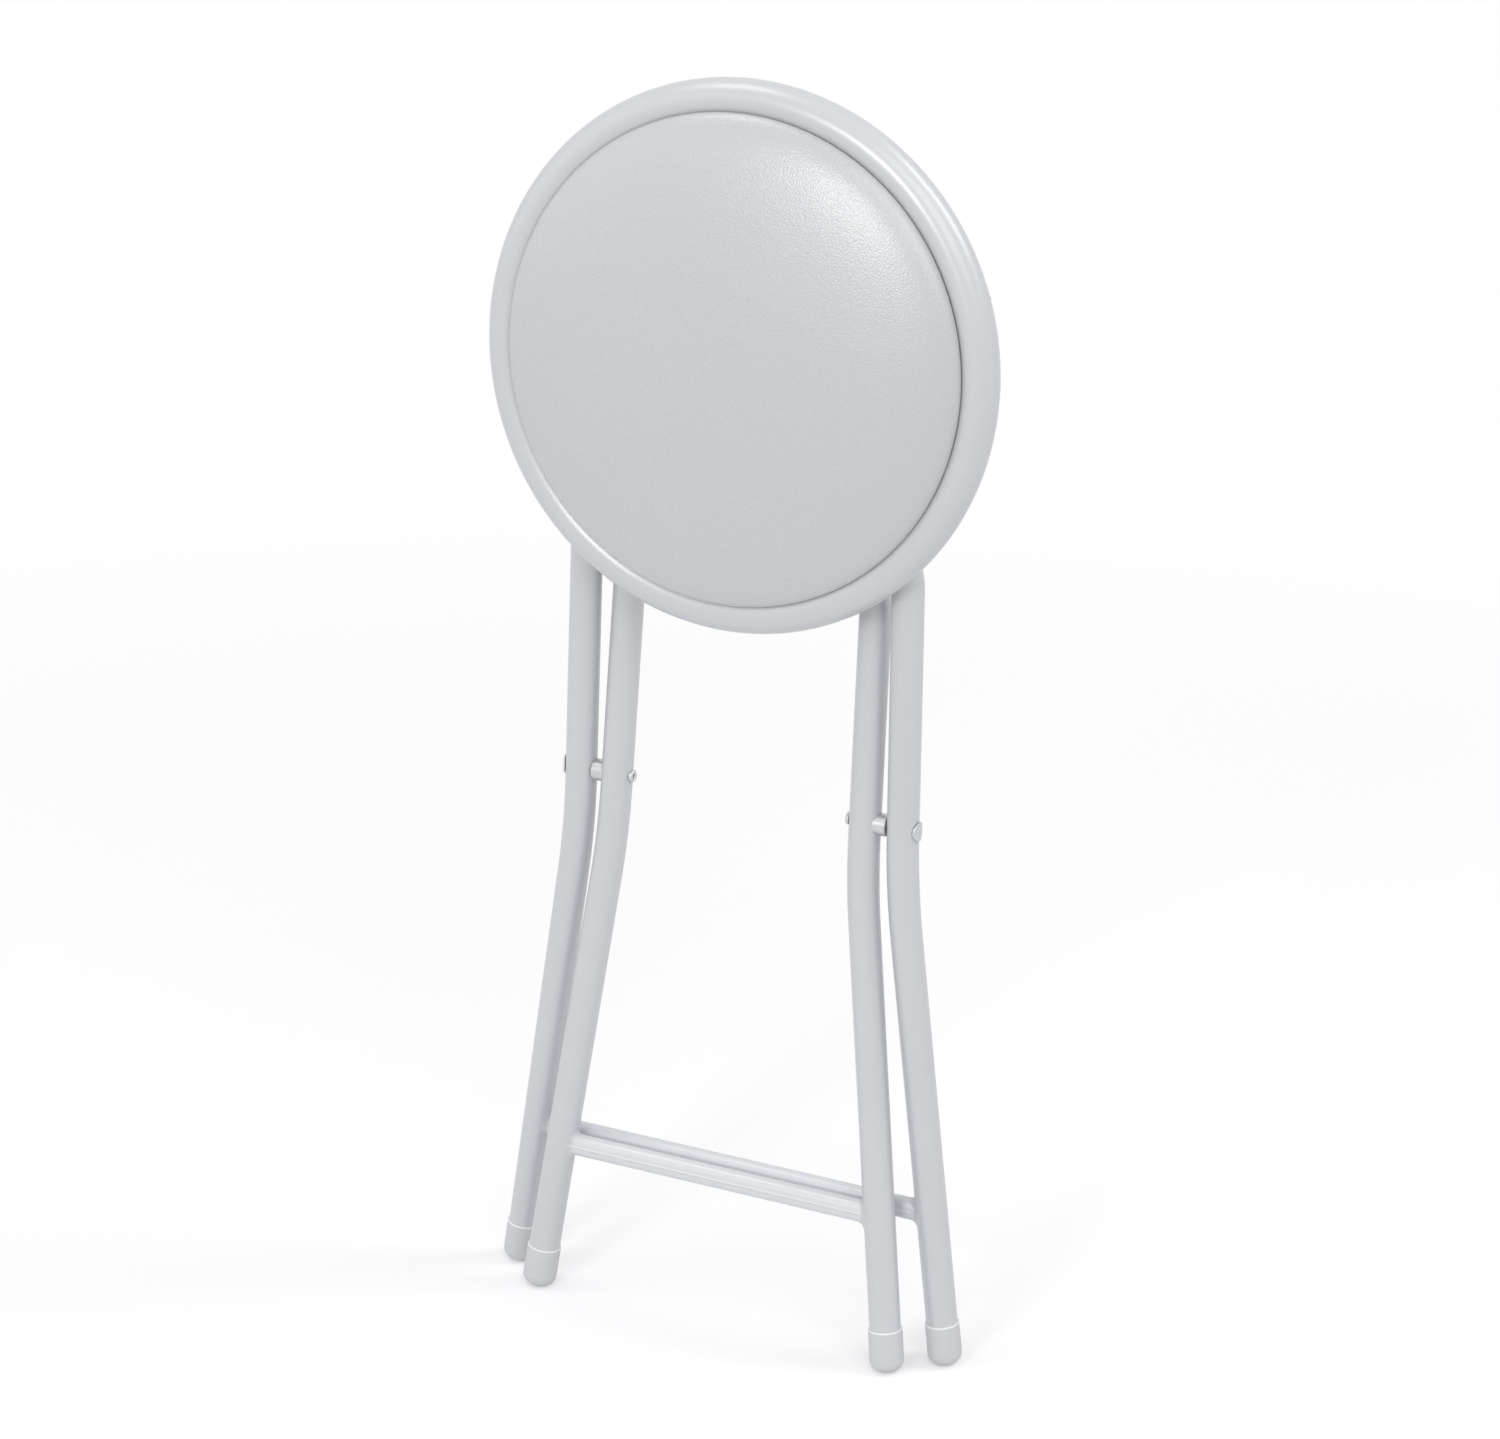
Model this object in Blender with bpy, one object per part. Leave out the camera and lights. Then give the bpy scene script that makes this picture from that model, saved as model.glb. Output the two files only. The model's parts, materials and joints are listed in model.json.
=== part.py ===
"""Folding stool: a round padded seat on two crossed U frames, folded flat and standing on its feet.

Metres, +Z up. The seat faces -Y, and the origin is on the floor, under the middle of the stool's box.
The wide outer frame stays still. The narrow inner frame swings on two rivets, and the seat swings on
the outer frame's top bar. Opened out, the inner frame's top bar seats in two saddles under the seat.
"""

import math

import bmesh
import bpy
from mathutils import Matrix, Vector

# Clearances
FACE_GAP = 0.0003            # between two pieces that touch
COVER_GAP = 0.0006           # between the padded cover and the seat's rim
BORE_GAP = 0.0003            # round a shank in its hole

# Seat rim
SEAT_RADIUS = 0.150          # to the outside of the rim
RIM_TUBE_RADIUS = 0.011
RIM_WALL = 0.0012
VENT_RADIUS = 0.0025         # drain hole in the rim's underside

# Leg tube and the two U frames
TUBE_RADIUS = 0.009
TUBE_WALL = 0.0012
LEG_GAP = 0.0048             # between the outer and the inner leg at the pivot
OUTER_HALF_WIDTH = 0.0994    # tube centre to the middle plane, at the pivot
PIVOT_HEIGHT = 0.3194        # pivot to floor, folded
HINGE_REACH = 0.1652         # pivot to the outer frame's top bar
BAR_STAGGER = 0.0180         # how much lower the inner frame's top bar is
CORNER_RADIUS = 0.0280       # top corners of both frames
KNEE_DROP = 0.0342           # the gentle bend's place below the pivot
KNEE_RADIUS = 0.500
OUTER_TAPER = math.radians(0.9)
OUTER_SPLAY = math.radians(7.6)
INNER_TAPER = math.radians(0.9)
INNER_SPLAY = math.radians(7.0)

# Angles
FOLDED_ANGLE = math.radians(4.3)      # between the two frames, folded
FOLDED_LEAN = math.radians(3.5)       # of the seat, back from the outer frame, folded
OPEN_HALF_ANGLE = math.radians(32.4)  # of each frame to the vertical, opened out

# Stretchers: a tube pressed flat, with a rib along its front and its back
STRETCHER_DROP = 0.2280      # below the pivot, along the frame
STRETCHER_HEIGHT = 0.0134
STRETCHER_DEPTH = 0.0100
STRETCHER_CORNER = 0.0030    # outside radius of its corners
STRETCHER_RIB = 0.0005       # how far the ribs stand out
STRETCHER_RIB_WIDTH = 0.0020
STRETCHER_WALL = 0.0012

# Rivets and the bushes between the legs
RIVET_RADIUS = 0.0026
RIVET_HEAD_RADIUS = 0.0055
RIVET_HEAD_HEIGHT = 0.0024
RIVET_TAIL_RADIUS = 0.0037
RIVET_TAIL_HEIGHT = 0.0016
RIVET_ROLL = 0.0008          # round of the tail's rolled lip
RIVET_BORE_RADIUS = 0.0014
RIVET_BORE_DEPTH = 0.0060
SPACER_RADIUS = 0.0063

# Foot caps
CAP_WALL = 0.0006            # above the sole
CAP_DRAFT = 0.0001           # how much thinner the wall is at the mouth
CAP_LENGTH = 0.0260
CAP_LIP = 0.0004             # round of the mouth's edge
CAP_FLOOR = 0.0065
CAP_SOLE_RADIUS = 0.0130     # of the sole's ball
CAP_SHOULDER = 0.0060        # round between the sole and the side
SOLE_FLAT_DEPTH = 0.0004     # how far the sole is flat where the folded stool stands

# Seat board, foam and cover
BOARD_THICKNESS = 0.0100
BOARD_ROUND = 0.0012         # of its edges
COVER_THICKNESS = 0.0008
COVER_HEM_WIDTH = 0.0200
COVER_EDGE_SHARE = 0.6       # how much of its thickness the cover keeps at the pad's widest point
PAD_INSET = 0.0058           # from the middle of the rim's tube in to the pad's widest point
PAD_CROWN = 0.0190           # above the pad's widest point
PAD_FULLNESS = 2.2           # exponent of the crown's curve, 2 being an ellipse

# Rails across the ring
RAIL_WIDTH = 0.0340
RAIL_RECESS = 0.0023         # of its flanges' edges, below the ring's middle plane
RAIL_SHEET = 0.0020
RAIL_BEND = 0.0015           # outside radius of its folds

# Hinge loops and rest saddles
LOOP_SHEET = 0.0020
LOOP_WIDTH = 0.0160
LOOP_PLACE = 0.0570          # from the middle plane
SADDLE_WALL = 0.0034
SADDLE_WIDTH = 0.0200
SADDLE_HEAD_WIDTH = 0.0280
SADDLE_PLACE = 0.0340        # from the middle plane
SADDLE_LIP_ANGLE = math.radians(-20)
SADDLE_MOUTH_ANGLE = math.radians(140)
SADDLE_FRONT_ANGLE = math.radians(125)
SADDLE_BACK_ANGLE = math.radians(25)

# Screws
SCREW_RADIUS = 0.0019
SCREW_HEAD_RADIUS = 0.0036
SCREW_HEAD_HEIGHT = 0.0021
SCREW_TIP = 0.0022
BOARD_SCREW_BITE = 0.0075
SADDLE_SCREW_BITE = 0.0090
HINGE_SCREW_PLACE = (0.0300, 0.0115)   # from the middle plane, and from the rail's middle
DRIVER_ROOM = 0.0100         # from a saddle to the middle of the screw beside it

# Facets
TUBE_SIDES = 18
RIM_STEPS = 56
RIM_SIDES = 12
PAD_STEPS = 48
ROUND_SIDES = 20
SCREW_SIDES = 12

# Worked out from the sizes above
PAST = 0.0010                # how far a cutter runs past a face
RIM_RADIUS = SEAT_RADIUS - RIM_TUBE_RADIUS
INNER_HALF_WIDTH = OUTER_HALF_WIDTH - 2 * TUBE_RADIUS - LEG_GAP
REST_REACH = HINGE_REACH - BAR_STAGGER
SEAT_REACH = HINGE_REACH * math.sin(OPEN_HALF_ANGLE)        # hinge axis to the seat's centre
TOP_HALF_WIDTH = OUTER_HALF_WIDTH - math.tan(OUTER_TAPER) * HINGE_REACH
STOP_REACH = math.sqrt(RIM_RADIUS**2 - TOP_HALF_WIDTH**2) - SEAT_REACH  # hinge axis to the rim's stop
STOP_DEPTH = RIM_TUBE_RADIUS + FACE_GAP + TUBE_RADIUS       # rim's line to the leg's, folded
SEAT_DROP = STOP_DEPTH - STOP_REACH * math.sin(FOLDED_LEAN)  # rim's middle plane above the hinge axis
REST_PLACE = (HINGE_REACH + REST_REACH) * math.sin(OPEN_HALF_ANGLE)  # hinge axis to the saddles
REST_DEPTH = BAR_STAGGER * math.cos(OPEN_HALF_ANGLE)        # saddles' bar below the hinge axis
RAIL_BOTTOM = TUBE_RADIUS + FACE_GAP                        # above the hinge axis, on the frame's bar
RAIL_TOP = SEAT_DROP - RAIL_RECESS
HEM_BOTTOM = RAIL_TOP + FACE_GAP
HEM_TOP = HEM_BOTTOM + COVER_THICKNESS
BOARD_BOTTOM = HEM_TOP + FACE_GAP
BOARD_TOP = BOARD_BOTTOM + BOARD_THICKNESS
COVER_ROLL = RIM_TUBE_RADIUS + COVER_GAP                    # the cover's roll round the rim's tube
PAD_RADIUS = RIM_RADIUS - PAD_INSET
PAD_EDGE = SEAT_DROP + math.sqrt(COVER_ROLL**2 - PAD_INSET**2)
PAD_TOP = PAD_EDGE + PAD_CROWN
BAR_SEAT = TUBE_RADIUS + FACE_GAP                           # radius that holds a frame's bar
REST_SCREW_PLACE = SADDLE_PLACE - SADDLE_WIDTH / 2 - DRIVER_ROOM  # from the middle plane
CAP_RADIUS = TUBE_RADIUS + BORE_GAP + CAP_WALL
SOLE_CENTRE = PIVOT_HEIGHT - CAP_SOLE_RADIUS + SOLE_FLAT_DEPTH  # the sole ball's centre below the pivot

for leftover in list(bpy.data.objects):
    bpy.data.objects.remove(leftover, do_unlink=True)


def material(name, colour, roughness, metallic=0.0):
    """A plain Principled material in the piece's own colour."""
    made = bpy.data.materials.new(name)
    made.use_nodes = True
    shader = made.node_tree.nodes["Principled BSDF"]
    shader.inputs["Base Color"].default_value = (*colour, 1.0)
    shader.inputs["Roughness"].default_value = roughness
    shader.inputs["Metallic"].default_value = metallic
    made.diffuse_color = (*colour, 1.0)
    return made


GREY_PAINT = (0.61, 0.63, 0.66)
GREY_LEATHERETTE = (0.58, 0.60, 0.61)
GREY_PLASTIC = (0.60, 0.62, 0.64)
ZINC = (0.62, 0.63, 0.65)
PLYWOOD = (0.62, 0.44, 0.26)
FOAM = (0.80, 0.74, 0.52)


def empty(name, place, turn_about_x=0.0):
    """A joint's place: what hangs on it is modelled in its own axes."""
    made = bpy.data.objects.new(name, None)
    made.location = place
    made.rotation_euler = (turn_about_x, 0.0, 0.0)
    made.empty_display_size = 0.03
    bpy.context.collection.objects.link(made)
    return made


def solid(name, mesh_data, parent, finish=None, smooth_to=math.radians(38)):
    """An object from a bmesh, under its joint's empty, shaded smooth except at real edges."""
    bmesh.ops.remove_doubles(mesh_data, verts=mesh_data.verts, dist=1e-7)
    bmesh.ops.recalc_face_normals(mesh_data, faces=mesh_data.faces)
    mesh = bpy.data.meshes.new(name)
    mesh_data.to_mesh(mesh)
    mesh_data.free()
    mesh.shade_smooth()
    mesh.set_sharp_from_angle(angle=smooth_to)
    made = bpy.data.objects.new(name, mesh)
    made.parent = parent
    bpy.context.collection.objects.link(made)
    if finish:
        made.data.materials.append(finish)
    return made


def cut(target, cutter, operation="DIFFERENCE"):
    """A boolean on target, with the cutter kept out of the build."""
    cutter.hide_render = True
    cutter.display_type = "WIRE"
    modifier = target.modifiers.new(cutter.name, "BOOLEAN")
    modifier.operation = operation
    modifier.object = cutter
    modifier.solver = "EXACT"


def join_rings(mesh_data, rings, closed_path=False):
    """Quads between neighbouring rings of equally many vertices."""
    pairs = list(zip(rings, rings[1:]))
    if closed_path:
        pairs.append((rings[-1], rings[0]))
    for first, second in pairs:
        count = len(first)
        for k in range(count):
            corners = (first[k], first[(k + 1) % count], second[(k + 1) % count], second[k])
            mesh_data.faces.new(corners)


def turned(profile, steps, closed=False):
    """Points (radius, height) turned about Z. A point at radius 0 is a pole."""
    mesh_data = bmesh.new()
    columns = []
    for radius, height in profile:
        if radius == 0:
            columns.append([mesh_data.verts.new((0, 0, height))] * steps)
        else:
            angles = (2 * math.pi * k / steps for k in range(steps))
            ring = [(radius * math.cos(a), radius * math.sin(a), height) for a in angles]
            columns.append([mesh_data.verts.new(point) for point in ring])
    pairs = list(zip(columns, columns[1:]))
    if closed:
        pairs.append((columns[-1], columns[0]))
    for first, second in pairs:
        for k in range(steps):
            after = (k + 1) % steps
            corners = [first[k], first[after], second[after], second[k]]
            distinct = list(dict.fromkeys(corners))
            if len(distinct) > 2:
                mesh_data.faces.new(distinct)
    return mesh_data


def disc_pin(radius, low, high, sides=ROUND_SIDES):
    """A plain cylinder about Z."""
    return turned([(0, low), (radius, low), (radius, high), (0, high)], sides)


def along_x(mesh_data, place):
    """Turns what was made about Z so that +Z points to +X, and moves it."""
    for vert in mesh_data.verts:
        x, y, z = vert.co
        vert.co = Vector((z, y, -x)) + Vector(place)
    return mesh_data


def moved(mesh_data, place):
    """Moves a bmesh."""
    bmesh.ops.translate(mesh_data, verts=mesh_data.verts, vec=Vector(place))
    return mesh_data


def mirrored(mesh_data):
    """The same piece on the other side of the middle plane."""
    for vert in mesh_data.verts:
        vert.co.x = -vert.co.x
    return mesh_data


def rounded_path(corners, radii, steps):
    """Corners (x, z) joined by straight runs, with an arc in place of each inner corner."""
    points = [Vector(corners[0])]
    inner = zip(corners, corners[1:], corners[2:], radii, steps)
    for before, corner, after, radius, arc_steps in inner:
        before, corner, after = Vector(before), Vector(corner), Vector(after)
        back = (before - corner).normalized()
        ahead = (after - corner).normalized()
        half = back.angle(ahead) / 2
        centre = corner + (back + ahead).normalized() * radius / math.sin(half)
        start = corner + back * radius / math.tan(half) - centre
        end = corner + ahead * radius / math.tan(half) - centre
        sweep = start.angle(end)
        for k in range(arc_steps + 1):
            share = k / arc_steps
            spread = math.sin(sweep)
            arm = start * math.sin((1 - share) * sweep) / spread + end * math.sin(share * sweep) / spread
            points.append(centre + arm)
    points.append(Vector(corners[-1]))
    return points


def tube_along(path, radius, wall, sides):
    """A hollow tube along a path in the XZ plane, open at both ends."""
    mesh_data = bmesh.new()
    skins = []
    for skin_radius in (radius, radius - wall):
        rings = []
        for k, point in enumerate(path):
            before = path[max(k - 1, 0)]
            after = path[min(k + 1, len(path) - 1)]
            along = (point - before).normalized() + (after - point).normalized()
            along.normalize()
            side = Vector((-along.y, along.x))
            ring = []
            for j in range(sides):
                angle = 2 * math.pi * j / sides
                out = point + side * (skin_radius * math.sin(angle))
                ring.append(mesh_data.verts.new((out.x, skin_radius * math.cos(angle), out.y)))
            rings.append(ring)
        join_rings(mesh_data, rings)
        skins.append(rings)
    outside, inside = skins
    for end in (0, -1):
        join_rings(mesh_data, [outside[end], inside[end]])
    return mesh_data


def prism_along_x(outline, low, high):
    """A closed outline of (y, z) points, from low to high along X."""
    mesh_data = bmesh.new()
    near = [mesh_data.verts.new((low, y, z)) for y, z in outline]
    far = [mesh_data.verts.new((high, y, z)) for y, z in outline]
    join_rings(mesh_data, [near, far])
    mesh_data.faces.new(near)
    mesh_data.faces.new(reversed(far))
    return mesh_data


def arc(centre, radius, start, end, steps):
    """Points on an arc, from one angle to another."""
    angles = (start + (end - start) * k / steps for k in range(steps + 1))
    return [(centre[0] + radius * math.cos(a), centre[1] + radius * math.sin(a)) for a in angles]


class Frame:
    """The lines of one U frame, in its own axes: the pivot at the origin, +Z up along the legs."""

    def __init__(self, half_width, top, taper, splay, lean):
        self.half_width = half_width
        self.top = top
        self.taper = taper
        self.splay = splay
        self.knee = half_width + math.tan(taper) * KNEE_DROP
        self.sole = -SOLE_CENTRE / math.cos(lean)

    def leg_x(self, z):
        """The lower leg's centre at a height below the knee."""
        return self.knee + math.tan(self.splay) * (-KNEE_DROP - z)

    def foot(self, past_sole):
        """The point on the leg's line, as far up from the sole's ball as past_sole."""
        z = self.sole + past_sole * math.cos(self.splay)
        return (self.leg_x(z), z)

    def path(self):
        """The tube's centre line, from the left foot over the top bar to the right foot."""
        corner = (self.half_width - math.tan(self.taper) * self.top, self.top)
        knee = (self.knee, -KNEE_DROP)
        foot = self.foot(CAP_FLOOR - CAP_SOLE_RADIUS + FACE_GAP)
        right = [corner, knee, foot]
        left = [(-x, z) for x, z in reversed(right)]
        radii = [KNEE_RADIUS, CORNER_RADIUS, CORNER_RADIUS, KNEE_RADIUS]
        return rounded_path(left + right, radii, [4, 8, 8, 4])


def make_frame(name, frame, parent, finish):
    """A bent tube with a rivet hole through each leg."""
    tube = solid(name, tube_along(frame.path(), TUBE_RADIUS, TUBE_WALL, TUBE_SIDES), parent, finish)
    for side, word in ((-1, "left"), (1, "right")):
        hole = disc_pin(RIVET_RADIUS + BORE_GAP, -2 * TUBE_RADIUS, 2 * TUBE_RADIUS, 16)
        place = (side * frame.half_width, 0, 0)
        cut(tube, solid(f"{name}_hole_{word}", along_x(hole, place), parent))
    return tube


def stretcher_section(inset):
    """Outline of the pressed tube: flat faces, round corners and a rib on its front and its back."""
    half_depth = STRETCHER_DEPTH / 2 - inset
    half_height = STRETCHER_HEIGHT / 2 - inset
    corner = STRETCHER_CORNER - inset
    centre = (half_depth - corner, half_height - corner)
    face = []
    for k in range(-2, 3):
        raised = STRETCHER_RIB * math.cos(math.pi * k / 4) ** 2
        face.append((half_depth + raised, STRETCHER_RIB_WIDTH * k / 4))
    front = face + arc(centre, corner, 0, math.pi / 2, 4)
    front += [(-y, z) for y, z in arc(centre, corner, math.pi / 2, 0, 4)]
    return front + [(-y, -z) for y, z in face] + [(-y, -z) for y, z in front[len(face):]]


def make_stretcher(name, frame, parent, finish):
    """A hollow cross bar whose ends are coped to the legs, which lean apart."""
    mesh_data = bmesh.new()
    reach = TUBE_RADIUS + FACE_GAP
    skins = []
    for inset in (0.0, STRETCHER_WALL):
        ends = []
        for side in (-1, 1):
            ring = []
            for y, z in stretcher_section(inset):
                height = z - STRETCHER_DROP
                to_leg = math.sqrt(reach**2 - y**2) / math.cos(frame.splay)
                ring.append(mesh_data.verts.new((side * (frame.leg_x(height) - to_leg), y, height)))
            ends.append(ring)
        join_rings(mesh_data, ends)
        skins.append(ends)
    for end in (0, 1):
        join_rings(mesh_data, [skins[0][end], skins[1][end]])
    return solid(name, mesh_data, parent, finish)


def make_foot_cap(name, frame, side, parent, finish):
    """A moulded cap over the leg's end, drafted to its mouth, with a ball for a sole."""
    sole_low = -CAP_SOLE_RADIUS
    mouth = sole_low + CAP_LENGTH
    bore = TUBE_RADIUS + BORE_GAP
    floor = sole_low + CAP_FLOOR
    middle = CAP_RADIUS - CAP_SHOULDER
    drop = math.sqrt((CAP_SOLE_RADIUS - CAP_SHOULDER) ** 2 - middle**2)
    turn = math.atan2(-drop, middle)
    ball = arc((0, 0), CAP_SOLE_RADIUS, -math.pi / 2, turn, 3)[1:]
    shoulder = arc((middle, -drop), CAP_SHOULDER, turn, 0, 4)[1:]
    profile = [(0, sole_low), *ball, *shoulder]
    profile += [
        (CAP_RADIUS - CAP_DRAFT, mouth - CAP_LIP),
        (CAP_RADIUS - CAP_DRAFT - CAP_LIP / 2, mouth),
        (bore, mouth),
        (bore, floor),
        (0, floor),
    ]
    cap = turned(profile, ROUND_SIDES)
    x, z = frame.foot(0)
    tilt = Matrix.Rotation(-frame.splay, 3, "Y")
    for vert in cap.verts:
        vert.co = tilt @ vert.co + Vector((x, 0, z))
        vert.co.x *= side
    made = solid(name, cap, parent, finish)
    cut(made, bpy.data.objects["floor"])
    return made


def make_floor():
    """The ground under the soles, which flattens each where the folded stool stands."""
    reach = PIVOT_HEIGHT
    sides = [(-reach, 0), (reach, 0), (reach, -CAP_LENGTH), (-reach, -CAP_LENGTH)]
    made = solid("floor", prism_along_x(sides, -reach, reach), None)
    made.hide_render = True
    made.display_type = "WIRE"
    return made


def make_rivets(parent, finish):
    """Rivets through both legs, domed outside and rolled over inside, with a bush between the legs."""
    outside = OUTER_HALF_WIDTH + TUBE_RADIUS + FACE_GAP
    inside = INNER_HALF_WIDTH - TUBE_RADIUS - FACE_GAP
    tail = inside - RIVET_TAIL_HEIGHT
    quarter = arc((0, 0), 1, 0, math.pi / 2, 4)[:-1]
    dome = [(RIVET_HEAD_RADIUS * out, outside + RIVET_HEAD_HEIGHT * up) for out, up in quarter]
    dome.append((0, outside + RIVET_HEAD_HEIGHT))
    profile = [
        (0, tail + RIVET_BORE_DEPTH),
        (RIVET_BORE_RADIUS, tail + RIVET_BORE_DEPTH),
        (RIVET_BORE_RADIUS, tail + RIVET_ROLL / 2),
        (RIVET_BORE_RADIUS + RIVET_ROLL / 2, tail),
        (RIVET_TAIL_RADIUS - RIVET_ROLL, tail),
        (RIVET_TAIL_RADIUS, tail + RIVET_ROLL),
        (RIVET_TAIL_RADIUS, inside),
        (RIVET_RADIUS, inside),
        (RIVET_RADIUS, outside),
        *dome,
    ]
    near = INNER_HALF_WIDTH + TUBE_RADIUS + FACE_GAP
    far = OUTER_HALF_WIDTH - TUBE_RADIUS - FACE_GAP
    bore = RIVET_RADIUS + BORE_GAP
    bush_profile = [(bore, near), (SPACER_RADIUS, near), (SPACER_RADIUS, far), (bore, far)]
    for side, word in ((1, "right"), (-1, "left")):
        rivet = along_x(turned(profile, ROUND_SIDES), (0, 0, 0))
        bush = along_x(turned(bush_profile, ROUND_SIDES, closed=True), (0, 0, 0))
        if side < 0:
            rivet, bush = mirrored(rivet), mirrored(bush)
        solid(f"pivot_rivet_{word}", rivet, parent, finish)
        solid(f"pivot_spacer_{word}", bush, parent, finish)


def make_rim(parent, finish):
    """The ring: a hollow tube bent round and closed, with one vent hole underneath at the back."""
    mesh_data = bmesh.new()
    for radius, inward in ((RIM_TUBE_RADIUS, False), (RIM_TUBE_RADIUS - RIM_WALL, True)):
        rings = []
        for k in range(RIM_STEPS):
            turn = 2 * math.pi * k / RIM_STEPS
            ring = []
            for j in range(RIM_SIDES):
                angle = 2 * math.pi * j / RIM_SIDES
                out = RIM_RADIUS + radius * math.cos(angle)
                point = (out * math.cos(turn), out * math.sin(turn), radius * math.sin(angle))
                ring.append(mesh_data.verts.new(point))
            rings.append(ring if inward else ring[::-1])
        join_rings(mesh_data, rings, closed_path=True)
    mesh = bpy.data.meshes.new("seat_rim")
    moved(mesh_data, (0, SEAT_REACH, SEAT_DROP))
    mesh_data.to_mesh(mesh)
    mesh_data.free()
    mesh.shade_smooth()
    rim = bpy.data.objects.new("seat_rim", mesh)
    rim.parent = parent
    bpy.context.collection.objects.link(rim)
    rim.data.materials.append(finish)
    vent = disc_pin(VENT_RADIUS, -2 * RIM_TUBE_RADIUS, 0, 10)
    place = (0, SEAT_REACH + RIM_RADIUS, SEAT_DROP)
    cut(rim, solid("rim_vent", moved(vent, place), parent))
    return rim


def backward(place, height):
    """How far behind the hinge axis a point of the flat seat lies once the seat is folded."""
    return place * math.sin(FOLDED_LEAN) - height * math.cos(FOLDED_LEAN)


def pivot_y(pad_outline, saddle_outline):
    """The pivot's place: the stool's box reaches from the pad's crown to the saddles' lips."""
    front = min(backward(SEAT_REACH - out, up) for out, up in pad_outline)
    back = max(backward(place, height) for place, height in saddle_outline)
    return -(front + back) / 2


def crown(radius, height, edge, steps):
    """The pad's upper outline from its middle to its widest point: a full, rounded crown."""
    points = []
    for k in range(steps + 1):
        angle = math.pi / 2 * k / steps
        out = radius * math.sin(angle) ** (2 / PAD_FULLNESS)
        up = height * math.cos(angle) ** (2 / PAD_FULLNESS) if k < steps else 0.0
        points.append((out, edge + up))
    return points


def pad_crown():
    """The cover's upper outline."""
    return crown(PAD_RADIUS, PAD_CROWN, PAD_EDGE, 9)


def roll(clearance, start_radius, low_height, steps):
    """The pad's side, following the rim's tube from its widest point in to the tube's inner side."""
    start = math.pi - math.acos((RIM_RADIUS - start_radius) / clearance)
    side = arc((RIM_RADIUS, SEAT_DROP), clearance, start, math.pi, steps)[1:]
    return [(out, up) for out, up in side if up > low_height]


def make_cushion(parent, cover_finish, foam_finish):
    """A foam pad with a crown, under a cover that is drawn in at the rim and hemmed under the board."""
    inner_roll = COVER_ROLL + COVER_THICKNESS
    inner_radius = PAD_RADIUS - COVER_THICKNESS * COVER_EDGE_SHARE
    inner_edge = SEAT_DROP + math.sqrt(inner_roll**2 - (RIM_RADIUS - inner_radius) ** 2)
    side = RIM_RADIUS - COVER_ROLL
    inner_crown = PAD_TOP - COVER_THICKNESS - inner_edge
    outside = pad_crown() + roll(COVER_ROLL, PAD_RADIUS, HEM_TOP, 3)
    inside = crown(inner_radius, inner_crown, inner_edge, 7) + roll(inner_roll, inner_radius, HEM_TOP, 2)
    hem = [
        (side, HEM_TOP),
        (side - COVER_THICKNESS, HEM_BOTTOM),
        (side - COVER_HEM_WIDTH, HEM_BOTTOM),
        (side - COVER_HEM_WIDTH, HEM_TOP),
        (side - COVER_THICKNESS, HEM_TOP),
    ]
    cover = turned(outside + hem + inside[::-1], PAD_STEPS)
    solid("cushion_cover", moved(cover, (0, SEAT_REACH, 0)), parent, cover_finish)

    foam_roll = inner_roll + FACE_GAP
    foam_radius = inner_radius - 2 * FACE_GAP
    foam_edge = SEAT_DROP + math.sqrt(foam_roll**2 - (RIM_RADIUS - foam_radius) ** 2)
    foam_bottom = BOARD_TOP + FACE_GAP
    foam_foot = RIM_RADIUS - math.sqrt(foam_roll**2 - (foam_bottom - SEAT_DROP) ** 2)
    top = crown(foam_radius, inner_crown - 2 * FACE_GAP - (foam_edge - inner_edge), foam_edge, 6)
    foam = turned([*top, (foam_foot, foam_bottom), (0, foam_bottom)], 40)
    solid("cushion_foam", moved(foam, (0, SEAT_REACH, 0)), parent, foam_finish)


def make_board(parent, finish, screw_places):
    """The plywood disc, drilled for its screws."""
    radius = RIM_RADIUS - COVER_ROLL - COVER_THICKNESS - FACE_GAP
    profile = [
        (0, BOARD_BOTTOM),
        (radius - BOARD_ROUND, BOARD_BOTTOM),
        (radius, BOARD_BOTTOM + BOARD_ROUND),
        (radius, BOARD_TOP - BOARD_ROUND),
        (radius - BOARD_ROUND, BOARD_TOP),
        (0, BOARD_TOP),
    ]
    board = solid("seat_board", moved(turned(profile, PAD_STEPS), (0, SEAT_REACH, 0)), parent, finish)
    end = BOARD_BOTTOM + BOARD_SCREW_BITE + BORE_GAP
    for number, (x, y) in enumerate(screw_places, 1):
        hole = disc_pin(SCREW_RADIUS + BORE_GAP, BOARD_BOTTOM - PAST, end, SCREW_SIDES)
        cut(board, solid(f"board_hole_{number}", moved(hole, (x, y, 0)), parent))
    return board


def inside_of_rim(parent):
    """The room inside the ring, less a weld's gap: what the rails are coped to."""
    reach = RIM_TUBE_RADIUS + FACE_GAP
    low = SEAT_DROP - 2 * reach
    high = math.asin((RAIL_TOP + PAST - SEAT_DROP) / reach)
    flank = arc((RIM_RADIUS, SEAT_DROP), reach, 1.5 * math.pi, math.pi - high, 10)
    profile = [(0, low), (RIM_RADIUS, low), *flank, (0, flank[-1][1])]
    room = solid("inside_of_rim", moved(turned(profile, RIM_STEPS), (0, SEAT_REACH, 0)), parent)
    room.hide_render = True
    room.display_type = "WIRE"
    return room


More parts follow.
